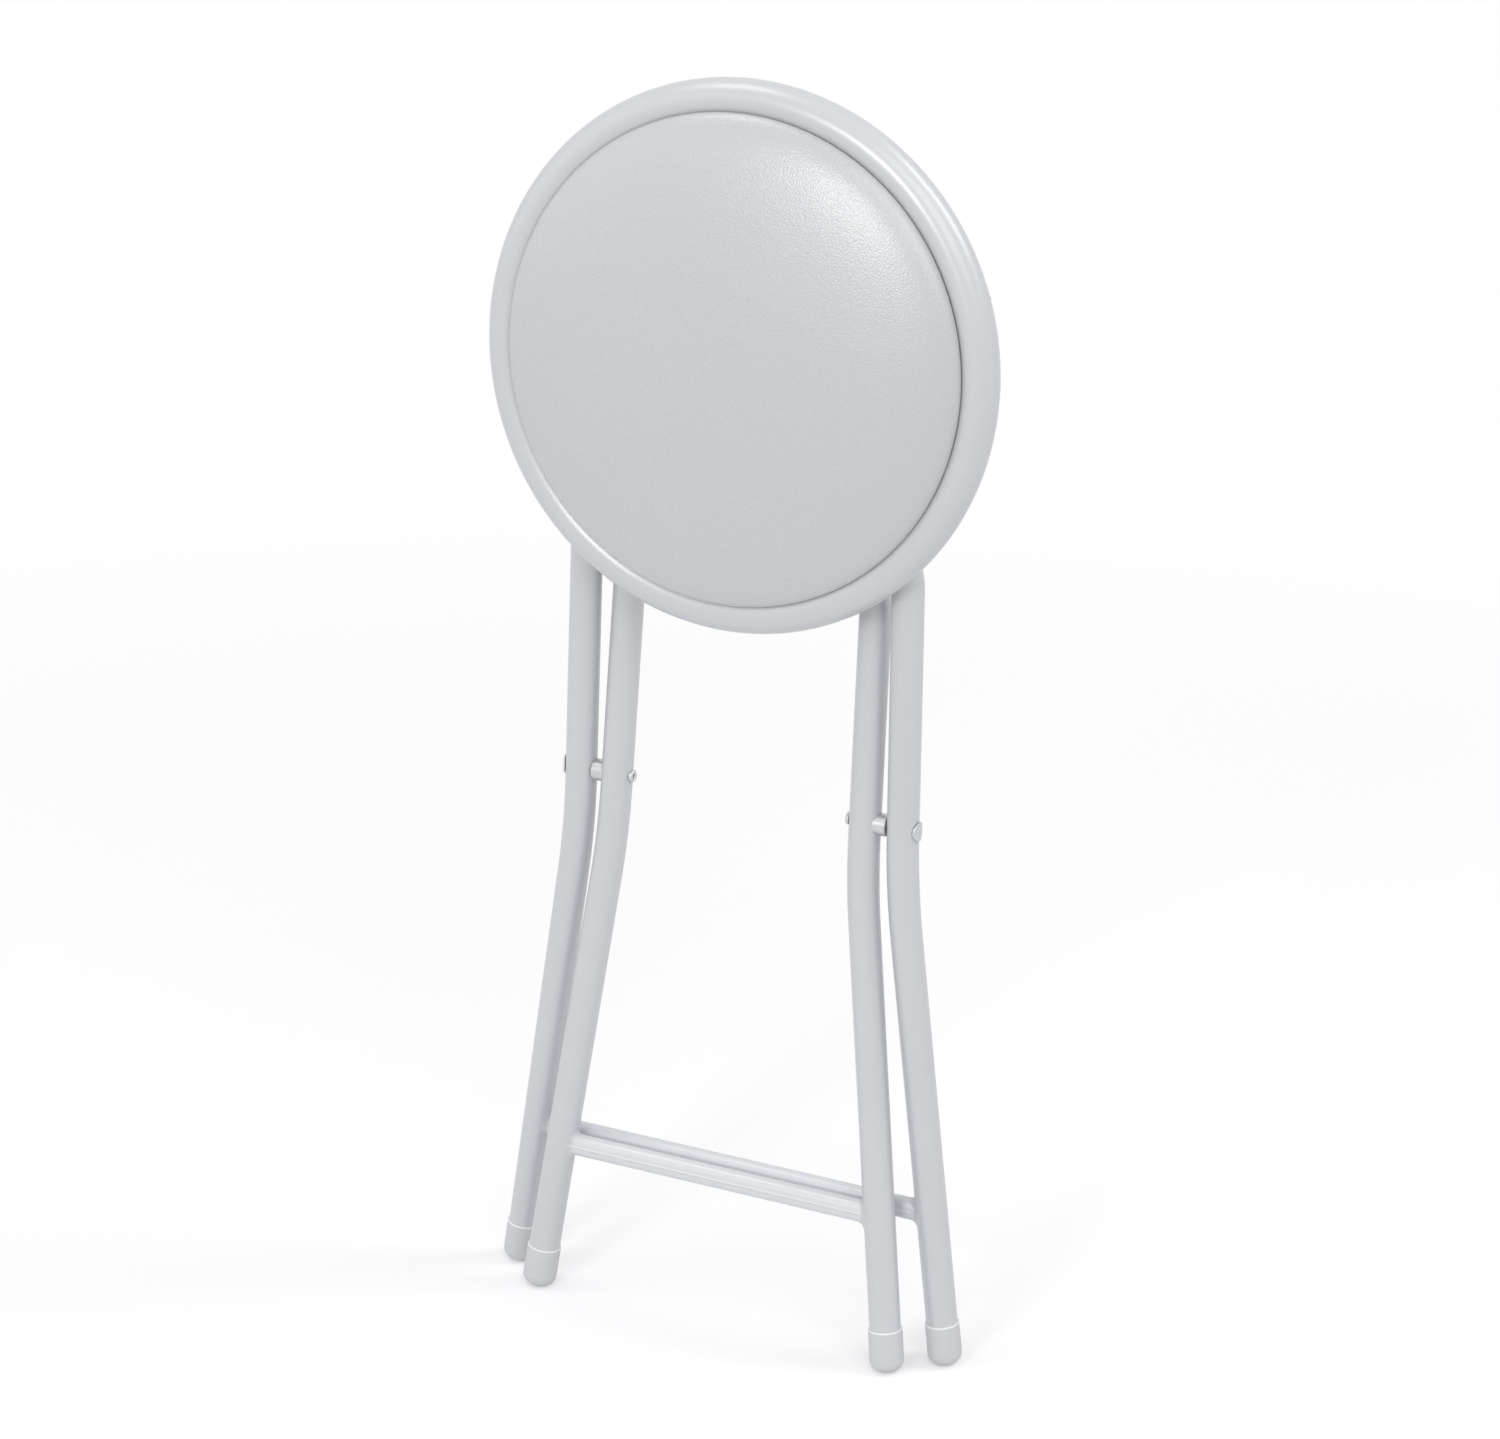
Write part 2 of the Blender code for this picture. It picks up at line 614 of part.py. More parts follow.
def make_rail(name, middle, parent, finish, room, hole_places):
    """A pressed channel, flanges up, coped to the ring and drilled for its screws."""
    half = RAIL_WIDTH / 2
    sheet = RAIL_SHEET
    corner = RAIL_BEND
    outline = [
        (middle - half, RAIL_TOP),
        (middle - half, RAIL_BOTTOM + corner),
        (middle - half + corner, RAIL_BOTTOM),
        (middle + half - corner, RAIL_BOTTOM),
        (middle + half, RAIL_BOTTOM + corner),
        (middle + half, RAIL_TOP),
        (middle + half - sheet, RAIL_TOP),
        (middle + half - sheet, RAIL_BOTTOM + sheet),
        (middle - half + sheet, RAIL_BOTTOM + sheet),
        (middle - half + sheet, RAIL_TOP),
    ]
    rail = solid(name, prism_along_x(outline, -RIM_RADIUS, RIM_RADIUS), parent, finish)
    cut(rail, room, "INTERSECT")
    for number, (x, y) in enumerate(hole_places, 1):
        end = RAIL_BOTTOM + RAIL_SHEET + PAST
        hole = disc_pin(SCREW_RADIUS + BORE_GAP, RAIL_BOTTOM - PAST, end, SCREW_SIDES)
        cut(rail, solid(f"{name}_hole_{number}", moved(hole, (x, y, 0)), parent))
    return rail


def make_hinge_loops(parent, finish):
    """Straps bent round the outer frame's top bar, their ends welded up to the hinge rail."""
    inner = BAR_SEAT
    outer = inner + LOOP_SHEET
    top = RAIL_BOTTOM - FACE_GAP
    outline = [(outer, top), (inner, top)]
    outline += arc((0, 0), inner, 0, -math.pi, 12)
    outline += [(-inner, top), (-outer, top)]
    outline += arc((0, 0), outer, -math.pi, 0, 12)
    for side, word in ((-1, "left"), (1, "right")):
        middle = side * LOOP_PLACE
        strap = prism_along_x(outline, middle - LOOP_WIDTH / 2, middle + LOOP_WIDTH / 2)
        solid(f"hinge_loop_{word}", strap, parent, finish)


def saddle_section():
    """A saddle's outline: a head under the rail, and a hollow for the bar that opens to the front."""
    centre = (REST_PLACE, -REST_DEPTH)
    top = RAIL_BOTTOM - FACE_GAP
    half_head = SADDLE_HEAD_WIDTH / 2
    wall = BAR_SEAT + SADDLE_WALL
    bridge = centre[1] + wall
    outline = arc(centre, BAR_SEAT, SADDLE_LIP_ANGLE, SADDLE_MOUTH_ANGLE, 12)
    outline += arc(centre, wall, SADDLE_MOUTH_ANGLE, SADDLE_FRONT_ANGLE, 1)
    outline += [(REST_PLACE - half_head, bridge), (REST_PLACE - half_head, top)]
    outline += [(REST_PLACE + half_head, top), (REST_PLACE + half_head, bridge)]
    outline += arc(centre, wall, SADDLE_BACK_ANGLE, SADDLE_LIP_ANGLE, 3)
    return outline


def make_rest_saddles(parent, finish):
    """Moulded blocks under the rest rail, which the inner frame's top bar seats in."""
    top = RAIL_BOTTOM - FACE_GAP
    for side, word in ((-1, "left"), (1, "right")):
        middle = side * SADDLE_PLACE
        block = prism_along_x(saddle_section(), middle - SADDLE_WIDTH / 2, middle + SADDLE_WIDTH / 2)
        saddle = solid(f"rest_saddle_{word}", block, parent, finish)
        depth = SADDLE_SCREW_BITE + BORE_GAP
        pilot = disc_pin(SCREW_RADIUS + BORE_GAP, top - depth, top + PAST, SCREW_SIDES)
        cut(saddle, solid(f"saddle_pilot_{word}", moved(pilot, (middle, REST_PLACE, 0)), parent))


def screw(shank, head_side):
    """A pan-head screw about Z, its head's underside at 0: its shank points down if head_side is 1."""
    head = [
        (0, -SCREW_HEAD_HEIGHT),
        (SCREW_HEAD_RADIUS * 0.62, -SCREW_HEAD_HEIGHT),
        (SCREW_HEAD_RADIUS * 0.9, -SCREW_HEAD_HEIGHT * 0.75),
        (SCREW_HEAD_RADIUS, -SCREW_HEAD_HEIGHT * 0.4),
        (SCREW_HEAD_RADIUS, 0),
        (SCREW_RADIUS, 0),
        (SCREW_RADIUS, shank - SCREW_TIP),
        (0, shank),
    ]
    mesh_data = turned(head, SCREW_SIDES)
    if head_side > 0:
        for vert in mesh_data.verts:
            vert.co.z = -vert.co.z
    return mesh_data


def make_screws(parent, finish, board_places, saddle_places):
    """Four screws up through the rails into the board, and two down through the rest rail."""
    board_shank = BOARD_BOTTOM + BOARD_SCREW_BITE - RAIL_BOTTOM + FACE_GAP
    for number, (x, y) in enumerate(board_places, 1):
        place = (x, y, RAIL_BOTTOM - FACE_GAP)
        solid(f"board_screw_{number}", moved(screw(board_shank, -1), place), parent, finish)
    saddle_shank = RAIL_SHEET + SADDLE_SCREW_BITE - FACE_GAP
    for (x, y), word in zip(saddle_places, ("left", "right")):
        place = (x, y, RAIL_BOTTOM + RAIL_SHEET + FACE_GAP)
        solid(f"saddle_screw_{word}", moved(screw(saddle_shank, 1), place), parent, finish)


def make_legs(name, frame, parent, paint, plastic):
    """One U frame with its stretcher and foot caps."""
    make_frame(f"{name}_frame", frame, parent, paint)
    make_stretcher(f"{name}_stretcher", frame, parent, paint)
    for side, word in ((-1, "left"), (1, "right")):
        make_foot_cap(f"foot_cap_{name}_{word}", frame, side, parent, plastic)


def make_seat(parent, paint, plastic, steel):
    """Everything that swings on the outer frame's top bar, modelled lying flat and facing up."""
    make_rim(parent, paint)
    hinge_x, hinge_y = HINGE_SCREW_PLACE
    hinge_places = [(-hinge_x, hinge_y), (hinge_x, hinge_y)]
    rest_places = [(-REST_SCREW_PLACE, REST_PLACE), (REST_SCREW_PLACE, REST_PLACE)]
    saddle_places = [(-SADDLE_PLACE, REST_PLACE), (SADDLE_PLACE, REST_PLACE)]
    room = inside_of_rim(parent)
    make_rail("hinge_rail", 0.0, parent, paint, room, hinge_places)
    make_rail("rest_rail", REST_PLACE, parent, paint, room, rest_places + saddle_places)
    make_board(parent, material("plywood", PLYWOOD, 0.7), hinge_places + rest_places)
    cover = material("leatherette", GREY_LEATHERETTE, 0.5)
    foam = material("foam", FOAM, 0.95)
    make_cushion(parent, cover, foam)
    make_hinge_loops(parent, paint)
    make_rest_saddles(parent, plastic)
    make_screws(parent, steel, hinge_places + rest_places, saddle_places)


def main():
    """The stool, folded."""
    paint = material("grey_paint", GREY_PAINT, 0.4, 0.2)
    plastic = material("grey_plastic", GREY_PLASTIC, 0.55)
    steel = material("zinc", ZINC, 0.35, 0.9)
    across = pivot_y(pad_crown(), saddle_section())
    pivot = (0, across, PIVOT_HEIGHT)
    hinge = (0, across, PIVOT_HEIGHT + HINGE_REACH)
    outer_root = empty("outer_pivot", pivot)
    inner_root = empty("inner_pivot", pivot, -FOLDED_ANGLE)
    seat_root = empty("seat_hinge", hinge, math.pi / 2 - FOLDED_LEAN)
    make_floor()
    outer = Frame(OUTER_HALF_WIDTH, HINGE_REACH, OUTER_TAPER, OUTER_SPLAY, 0.0)
    inner = Frame(INNER_HALF_WIDTH, REST_REACH, INNER_TAPER, INNER_SPLAY, FOLDED_ANGLE)
    make_legs("outer", outer, outer_root, paint, plastic)
    make_legs("inner", inner, inner_root, paint, plastic)
    make_rivets(outer_root, steel)
    make_seat(seat_root, paint, plastic, steel)


main()
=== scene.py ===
"""Looks of the folding stool: paint, leatherette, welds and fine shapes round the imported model.

Metres, +Z up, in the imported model's own frame. Pieces are modelled in one of three sets of axes,
the outer frame's, the inner frame's or the flat seat's, and their meshes are then put in place.
"""

import json
import math

import bmesh
import bpy
from mathutils import Matrix, Vector


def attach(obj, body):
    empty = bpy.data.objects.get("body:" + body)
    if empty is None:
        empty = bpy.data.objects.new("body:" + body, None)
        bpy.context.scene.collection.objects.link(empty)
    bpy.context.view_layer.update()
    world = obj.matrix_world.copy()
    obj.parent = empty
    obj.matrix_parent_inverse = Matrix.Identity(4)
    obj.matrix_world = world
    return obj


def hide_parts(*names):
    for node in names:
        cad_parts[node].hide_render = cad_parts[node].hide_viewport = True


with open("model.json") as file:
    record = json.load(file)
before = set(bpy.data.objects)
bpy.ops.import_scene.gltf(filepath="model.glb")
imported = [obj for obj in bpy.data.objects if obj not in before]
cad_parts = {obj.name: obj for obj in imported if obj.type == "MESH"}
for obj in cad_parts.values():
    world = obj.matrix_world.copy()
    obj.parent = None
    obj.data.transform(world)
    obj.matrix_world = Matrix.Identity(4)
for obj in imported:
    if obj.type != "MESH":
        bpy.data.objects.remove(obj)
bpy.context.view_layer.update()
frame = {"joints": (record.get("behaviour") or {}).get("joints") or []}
SCENE = bpy.context.scene

# Camera: where it looks from, and how far its aim is from the pivot between the two frames
PHOTO_WIDTH_PX = 1500
FOCAL_LENGTH_PX = 4270.0
SENSOR_WIDTH = 36.0
CAMERA_AZIMUTH = math.radians(25.173)
CAMERA_ELEVATION = math.radians(20.053)
CAMERA_ROLL = math.radians(1.374)
CAMERA_DISTANCE = 2.3612
AIM_RIGHT = 0.0047
AIM_UP = 0.0459

# Lamps: name, direction from the aim, distance, size, watts
LAMP_AIM = Vector((0.0, 0.0, 0.5))
LAMPS = (
    ("front_box", (-0.067, -0.938, 0.343), 4.0, (0.9, 0.9), 31.0),
    ("soft_box", (0.55, -0.62, 0.70), 4.0, (2.4, 2.4), 28.0),
    ("strip", (0.655, 0.294, 0.746), 2.6, (0.90, 1.6), 17.0),
    ("overhead", (-0.40, -0.15, 0.90), 3.0, (1.1, 1.1), 10.0),
    ("left_fill", (-0.80, -0.50, 0.33), 4.0, (4.0, 2.6), 11.0),
)
WHITE = (1.0, 1.0, 1.0, 1.0)
# Paler plastic for the highlight painted on the bead at each cap's mouth
PAINTED_HIGHLIGHT_PLASTIC = (0.86, 0.865, 0.875)

# Tubes
TUBE_RADIUS = 0.009
TUBE_WALL = 0.0012
RIM_TUBE_RADIUS = 0.011
RIM_DRILL_RADIUS = 0.0025
RIM_DRILL_DEPTH = 0.002
RIM_SEAM_TURN = math.radians(20)
BEAD_SINK = 0.0002
SEAT_RADIUS = 0.150
CORNER_RADIUS = 0.0280
KNEE_DROP = 0.0342
KNEE_RADIUS = 0.500
OUTER_HALF_WIDTH = 0.0994
LEG_GAP = 0.0048
OUTER_TAPER = math.radians(0.9)
OUTER_SPLAY = math.radians(7.6)
INNER_TAPER = math.radians(0.9)
INNER_SPLAY = math.radians(7.0)
FOLDED_ANGLE = math.radians(4.3)
FOLDED_LEAN = math.radians(3.5)
OPEN_HALF_ANGLE = math.radians(32.4)
BAR_STAGGER = 0.0180

# Foot caps
CAP_WALL = 0.0006
CAP_LENGTH = 0.0260
CAP_FLOOR = 0.0065
CAP_SOLE_RADIUS = 0.0130
CAP_SHOULDER = 0.0060
SOLE_FLAT_DEPTH = 0.0004
CAP_BEAD = 0.0006            # round of the bead at the mouth
CAP_NECK = 0.0001            # how much slimmer the cap is just below the bead
CAP_PAINTED_HIGHLIGHT = 1.6 * CAP_BEAD  # how far down from the mouth a highlight is painted pale

# Stretchers
STRETCHER_DROP = 0.2280
STRETCHER_HEIGHT = 0.0126
STRETCHER_DEPTH = 0.0100
STRETCHER_CORNER = 0.0046
STRETCHER_RIB = 0.0007
STRETCHER_RIB_WIDTH = 0.0020
FILLET_AT_SIDE = 0.0014      # of the weld, on the bar's front and back
FILLET_RIPPLE = 0.06         # share of its size

# Rivets and bushes
RIVET_RADIUS = 0.0026
RIVET_HEAD_RADIUS = 0.0055
RIVET_HEAD_HEIGHT = 0.0014     # a low dome, pressed to the round of the leg
RIVET_HEAD_EDGE = 0.0009
RIVET_GROOVE = 0.0005          # under the head's edge
RIVET_TAIL_RADIUS = 0.0037
RIVET_TAIL_HEIGHT = 0.0016
RIVET_BORE_RADIUS = 0.0014
RIVET_BORE_DEPTH = 0.0060
SPACER_RADIUS = 0.0063
SPACER_CHAMFER = 0.0004

# Seat
GAP = 0.0003
COVER_GAP = 0.0006
RAIL_WIDTH = 0.0340
RAIL_RECESS = 0.0023
RAIL_SHEET = 0.0020
RAIL_BEND = 0.0022
BOARD_THICKNESS = 0.0100
COVER_THICKNESS = 0.0008
HEM_WIDTH = 0.0200
PAD_INSET = 0.0058
PAD_CROWN = 0.0190
PAD_FULLNESS = 2.2
LOOP_SHEET = 0.0020
LOOP_WIDTH = 0.0160
LOOP_PLACE = 0.0570
SADDLE_WALL = 0.0034
SADDLE_WIDTH = 0.0200
SADDLE_HEAD_WIDTH = 0.0280
SADDLE_PLACE = 0.0340
SADDLE_LIP_ANGLE = math.radians(-20)
SADDLE_MOUTH_ANGLE = math.radians(140)
SADDLE_FRONT_ANGLE = math.radians(125)
SADDLE_BACK_ANGLE = math.radians(25)
SCREW_RADIUS = 0.0019
SCREW_HEAD_RADIUS = 0.0036
SCREW_HEAD_HEIGHT = 0.0021
HINGE_SCREW_PLACE = (0.0300, 0.0115)
DRIVER_ROOM = 0.0100

# Worked out from the frame and the sizes above
JOINTS = {joint["name"]: joint for joint in frame["joints"]}
PIVOT = Vector(JOINTS["frame_fold"]["pos_m"])
HINGE = Vector(JOINTS["seat_hinge"]["pos_m"])
HINGE_REACH = HINGE.z - PIVOT.z
INNER_HALF_WIDTH = OUTER_HALF_WIDTH - 2 * TUBE_RADIUS - LEG_GAP
REST_REACH = HINGE_REACH - BAR_STAGGER
RIM_RADIUS = SEAT_RADIUS - RIM_TUBE_RADIUS
SEAT_REACH = HINGE_REACH * math.sin(OPEN_HALF_ANGLE)
TOP_HALF_WIDTH = OUTER_HALF_WIDTH - math.tan(OUTER_TAPER) * HINGE_REACH
STOP_REACH = math.sqrt(RIM_RADIUS**2 - TOP_HALF_WIDTH**2) - SEAT_REACH
SEAT_DROP = RIM_TUBE_RADIUS + GAP + TUBE_RADIUS - STOP_REACH * math.sin(FOLDED_LEAN)
REST_PLACE = (HINGE_REACH + REST_REACH) * math.sin(OPEN_HALF_ANGLE)
REST_DEPTH = BAR_STAGGER * math.cos(OPEN_HALF_ANGLE)
RAIL_BOTTOM = TUBE_RADIUS + GAP
RAIL_TOP = SEAT_DROP - RAIL_RECESS
HEM_BOTTOM = RAIL_TOP + GAP
HEM_TOP = HEM_BOTTOM + COVER_THICKNESS
BOARD_BOTTOM = HEM_TOP + GAP
BOARD_TOP = BOARD_BOTTOM + BOARD_THICKNESS
COVER_ROLL = RIM_TUBE_RADIUS + COVER_GAP
PAD_RADIUS = RIM_RADIUS - PAD_INSET
PAD_EDGE = SEAT_DROP + math.sqrt(COVER_ROLL**2 - PAD_INSET**2)
PAD_SIDE = RIM_RADIUS - COVER_ROLL
BOARD_RADIUS = PAD_SIDE - COVER_THICKNESS - GAP
BAR_SEAT = TUBE_RADIUS + GAP
REST_SCREW_PLACE = SADDLE_PLACE - SADDLE_WIDTH / 2 - DRIVER_ROOM
CAP_RADIUS = TUBE_RADIUS + GAP + CAP_WALL
SOLE_CENTRE = PIVOT.z - CAP_SOLE_RADIUS + SOLE_FLAT_DEPTH

# The three sets of axes
OUTER_AXES = Matrix.Translation(PIVOT)
INNER_AXES = Matrix.Translation(PIVOT) @ Matrix.Rotation(-FOLDED_ANGLE, 4, "X")
SEAT_AXES = Matrix.Translation(HINGE) @ Matrix.Rotation(math.pi / 2 - FOLDED_LEAN, 4, "X")
SEAT_MIDDLE = Vector((0, SEAT_REACH, 0))
MIDDLE_AXES = SEAT_AXES @ Matrix.Translation(SEAT_MIDDLE)

# Detail of the meshes
SIDES = ((-1, "left"), (1, "right"))
TUBE_SIDES = 40
TUBE_STEP = 0.004
CORNER_STEPS = 20
ROUND_SIDES = 56
PAD_CELLS = 56


def set_all(thing, settings):
    """Gives a thing its settings by name."""
    for key, value in settings.items():
        setattr(thing, key, value)


def placed(name, data):
    """A new object in the scene."""
    made = bpy.data.objects.new(name, data)
    SCENE.collection.objects.link(made)
    return made


class Nodes:
    """Short words for adding nodes to a tree and linking them."""

    def __init__(self, tree):
        self.tree = tree

    def add(self, kind, inputs=None, **settings):
        node = self.tree.nodes.new(kind)
        set_all(node, settings)
        for key, value in (inputs or {}).items():
            if hasattr(value, "is_output"):
                self.tree.links.new(value, node.inputs[key])
            else:
                node.inputs[key].default_value = value
        return node

    def put(self, kind, inputs=None, **settings):
        return self.add(kind, inputs, **settings).outputs[0]

    def link(self, output, node, key):
        self.tree.links.new(output, node.inputs[key])

    def maths(self, operation, first, second=0.5):
        return self.put("ShaderNodeMath", {0: first, 1: second}, operation=operation)

    def noise(self, place, scale, detail, output="Fac"):
        inputs = {"Vector": place, "Scale": scale, "Detail": detail}
        return self.add("ShaderNodeTexNoise", inputs).outputs[output]


# Materials


def emptied(owner):
    """The node tree of a material or a world, with nothing in it yet."""
    owner.use_nodes = True
    owner.node_tree.nodes.clear()
    return Nodes(owner.node_tree)


def surface(name, colour, roughness, metallic=0.0, specular=0.5):
    """A Principled material, its nodes, its shader, and the object's own coordinates."""
    made = bpy.data.materials.new(name)
    nodes = emptied(made)
    shader = nodes.add("ShaderNodeBsdfPrincipled", {
        "Base Color": (*colour, 1.0), "Roughness": roughness, "Metallic": metallic,
        "Specular IOR Level": specular,
    })
    nodes.add("ShaderNodeOutputMaterial", {"Surface": shader.outputs["BSDF"]})
    return made, nodes, shader, nodes.add("ShaderNodeTexCoord").outputs["Object"]


def tinted(nodes, factor, low, high, **settings):
    """A colour between two, each a tuple or an output, by a factor from 0 to 1."""
    low, high = [(*c, 1.0) if isinstance(c, tuple) else c for c in (low, high)]
    inputs = {0: factor, 6: low, 7: high}
    return nodes.add("ShaderNodeMix", inputs, data_type="RGBA", **settings).outputs[2]


def spread(nodes, value, low, high, start=0.0, end=1.0):
    """What goes from start to end spread over a range."""
    limits = {"From Min": start, "From Max": end, "To Min": low, "To Max": high}
    return nodes.put("ShaderNodeMapRange", {"Value": value, **limits})


def bumped(nodes, shader, height, distance, under=None):
    """Bump from a height field, over another bump if one is given."""
    bump = nodes.add("ShaderNodeBump", {"Height": height, "Distance": distance, "Strength": 1.0})
    if under is not None:
        nodes.link(under, bump, "Normal")
    nodes.link(bump.outputs[0], shader, "Normal")
    return bump.outputs[0]


def powder_coat(name, dark, pale):
    """Satin silver-grey powder coat: a faint orange peel and a little drift in its shade."""
    made, nodes, shader, place = surface(name, pale, roughness=0.30, metallic=0.12)
    drift = nodes.noise(place, scale=9.0, detail=3.0)
    peel = nodes.noise(place, scale=700.0, detail=2.0)
    speckle = nodes.maths("MULTIPLY", nodes.maths("ADD", drift, peel), 0.5)
    nodes.link(tinted(nodes, speckle, dark, pale), shader, "Base Color")
    nodes.link(spread(nodes, drift, 0.27, 0.33), shader, "Roughness")
    bumped(nodes, shader, peel, distance=0.00001)
    return made


def leatherette():
    """Pale grey leatherette: rounded pebbles, finer pores between them, a soft sheen, and painted shade
    in the crevices between the pebbles.
    """
    made, nodes, shader, place = surface(
        "leatherette", (0.593, 0.605, 0.611), roughness=0.32, specular=1.0
    )
    shader.inputs["Sheen Weight"].default_value = 0.06
    shader.inputs["Coat Weight"].default_value = 0.4
    shader.inputs["Coat Roughness"].default_value = 0.30
    warp = nodes.noise(place, scale=260.0, detail=2.0, output="Color")
    bent = nodes.put("ShaderNodeVectorMath", {0: warp, "Scale": 0.0011}, operation="SCALE")
    moved = nodes.put("ShaderNodeVectorMath", {0: place, 1: bent}, operation="ADD")
    cells = {"Vector": moved, "Scale": 980.0, "Smoothness": 0.7}
    pebbles = nodes.add("ShaderNodeTexVoronoi", cells, feature="SMOOTH_F1").outputs["Distance"]
    pores = nodes.noise(place, scale=2300.0, detail=2.0)
    drift = nodes.noise(place, scale=14.0, detail=4.0)
    under = bumped(nodes, shader, nodes.maths("MULTIPLY", pebbles, -1.0), distance=0.00010)
    grain = bumped(nodes, shader, pores, distance=0.00003, under=under)
    nodes.link(grain, shader, "Coat Normal")
    shade = tinted(nodes, drift, (0.572, 0.584, 0.592), (0.592, 0.604, 0.612))
    # Painted shade: the colour is darker between the pebbles, where their crevices lie.
    painted_crevice_shade = tinted(nodes, spread(nodes, pebbles, 0.0, 1.0), (1.0, 1.0, 1.0), (0.90, 0.90, 0.90))
    nodes.link(tinted(nodes, 1.0, shade, painted_crevice_shade, blend_type="MULTIPLY"), shader, "Base Color")
    nodes.link(spread(nodes, pebbles, 0.27, 0.37), shader, "Roughness")
    return made


def moulded_plastic():
    """Satin polyethylene: a fine spark-eroded texture, a slight scuff, and a highlight painted paler on
    the bead at the mouth.
    """
    made, nodes, shader, place = surface("grey_plastic", (0.60, 0.607, 0.63), roughness=0.45)
    grain = nodes.noise(place, scale=1600.0, detail=3.0)
    scuff = nodes.noise(place, scale=60.0, detail=5.0)
    bumped(nodes, shader, grain, distance=0.00005)
    # Where the attribute is 1, on the mouth's bead, the plastic takes a painted highlight.
    mouth_highlight = nodes.add("ShaderNodeAttribute", attribute_name="mouth_highlight").outputs["Fac"]
    shade = tinted(nodes, scuff, (0.615, 0.622, 0.645), (0.645, 0.652, 0.675))
    nodes.link(tinted(nodes, mouth_highlight, shade, PAINTED_HIGHLIGHT_PLASTIC), shader, "Base Color")
    nodes.link(spread(nodes, scuff, 0.40, 0.58), shader, "Roughness")
    return made


def zinc():
    """Zinc plate, dulled by handling."""
    made, nodes, shader, place = surface("zinc", (0.60, 0.61, 0.63), roughness=0.30, metallic=0.75)
    dull = nodes.noise(place, scale=350.0, detail=4.0)
    nodes.link(tinted(nodes, dull, (0.50, 0.51, 0.525), (0.68, 0.69, 0.705)), shader, "Base Color")
    nodes.link(spread(nodes, dull, 0.24, 0.42), shader, "Roughness")
    bumped(nodes, shader, dull, distance=0.00003)
    return made


def plywood():
    """Birch plywood, its grain along the rails, in the flat seat's axes."""
    made, nodes, shader, place = surface("plywood", (0.62, 0.44, 0.26), roughness=0.62)
    turn = (FOLDED_LEAN - math.pi / 2, 0, 0)
    level = nodes.put("ShaderNodeMapping", {"Vector": place, "Rotation": turn})
    grain = nodes.put("ShaderNodeMapping", {"Vector": level, "Scale": (0.05, 1.0, 1.0)})
    figure = nodes.noise(grain, scale=60.0, detail=5.0)
    fibres = nodes.noise(grain, scale=900.0, detail=3.0)
    both = spread(nodes, nodes.maths("MULTIPLY", figure, fibres), -0.6, 2.4)
    nodes.link(tinted(nodes, both, (0.46, 0.31, 0.17), (0.70, 0.52, 0.33)), shader, "Base Color")
    bumped(nodes, shader, fibres, distance=0.00008)
    return made


PAINT = powder_coat("grey_paint", (0.585, 0.597, 0.624), (0.650, 0.662, 0.686))
# The cross bars take a paler copy of the same paint: painted light, standing in for the frontal light on
# their flat faces.
BAR_PAINT_WITH_PAINTED_LIGHT = powder_coat("grey_paint_with_painted_light_on_bars", (0.675, 0.689, 0.715), (0.740, 0.754, 0.779))
LEATHER = leatherette()
PLASTIC = moulded_plastic()
ZINC = zinc()
PLYWOOD = plywood()


# Shapes


def arc(centre, radius, start, end, steps):
    """Points on an arc, from one angle to another."""
    angles = (start + (end - start) * k / steps for k in range(steps + 1))
    return [(centre[0] + radius * math.cos(a), centre[1] + radius * math.sin(a)) for a in angles]


def join_rings(shape, rings, closed_path=False):
    """Quads between neighbouring rings of equally many vertices."""
    pairs = list(zip(rings, rings[1:]))
    if closed_path:
        pairs.append((rings[-1], rings[0]))
    for first, second in pairs:
        count = len(first)
        for k in range(count):
            shape.faces.new((first[k], first[(k + 1) % count], second[(k + 1) % count], second[k]))


def turned(profile, steps=ROUND_SIDES, closed=False):
    """Points (radius, height) turned about Z. A point at radius 0 is a pole."""
    shape = bmesh.new()
    columns = []
    for radius, height in profile:
        if radius == 0:
            columns.append([shape.verts.new((0, 0, height))] * steps)
        else:
            ring = arc((0, 0), radius, 0, 2 * math.pi, steps)[:-1]
            columns.append([shape.verts.new((x, y, height)) for x, y in ring])
    pairs = list(zip(columns, columns[1:]))
    if closed:
        pairs.append((columns[-1], columns[0]))
    for first, second in pairs:
        for k in range(steps):
            after = (k + 1) % steps
            corners = dict.fromkeys([first[k], first[after], second[after], second[k]])
            if len(corners) > 2:
                shape.faces.new(list(corners))
    return shape


def between(starts, ends, steps=1):
    """A closed solid from one outline to another, in even steps."""
    shape = bmesh.new()
    rings = []
    for k in range(steps + 1):
        rings.append([shape.verts.new(a.lerp(b, k / steps)) for a, b in zip(starts, ends)])
    join_rings(shape, rings)
    shape.faces.new(rings[0])
    shape.faces.new(reversed(rings[-1]))
    return shape


def prism_along_x(outline, low, high):
    """A closed outline of (y, z) points, from low to high along X."""
    return between(*([Vector((x, y, z)) for y, z in outline] for x in (low, high)))


def shaded(mesh, sharp_from):
    """Smooth shading, with the edges past an angle in degrees left sharp."""
    mesh.shade_smooth()
    mesh.set_sharp_from_angle(angle=math.radians(sharp_from))


def loose(name, shape, axes, sharp_from=40):
    """An object from a shape, its place in its mesh, with its faces turned out."""
    bmesh.ops.remove_doubles(shape, verts=shape.verts, dist=1e-7)
    bmesh.ops.transform(shape, matrix=axes, verts=shape.verts)
    bmesh.ops.recalc_face_normals(shape, faces=shape.faces)
    mesh = bpy.data.meshes.new(name)
    shape.to_mesh(mesh)
    shape.free()
    shaded(mesh, sharp_from)
    return placed(name, mesh)


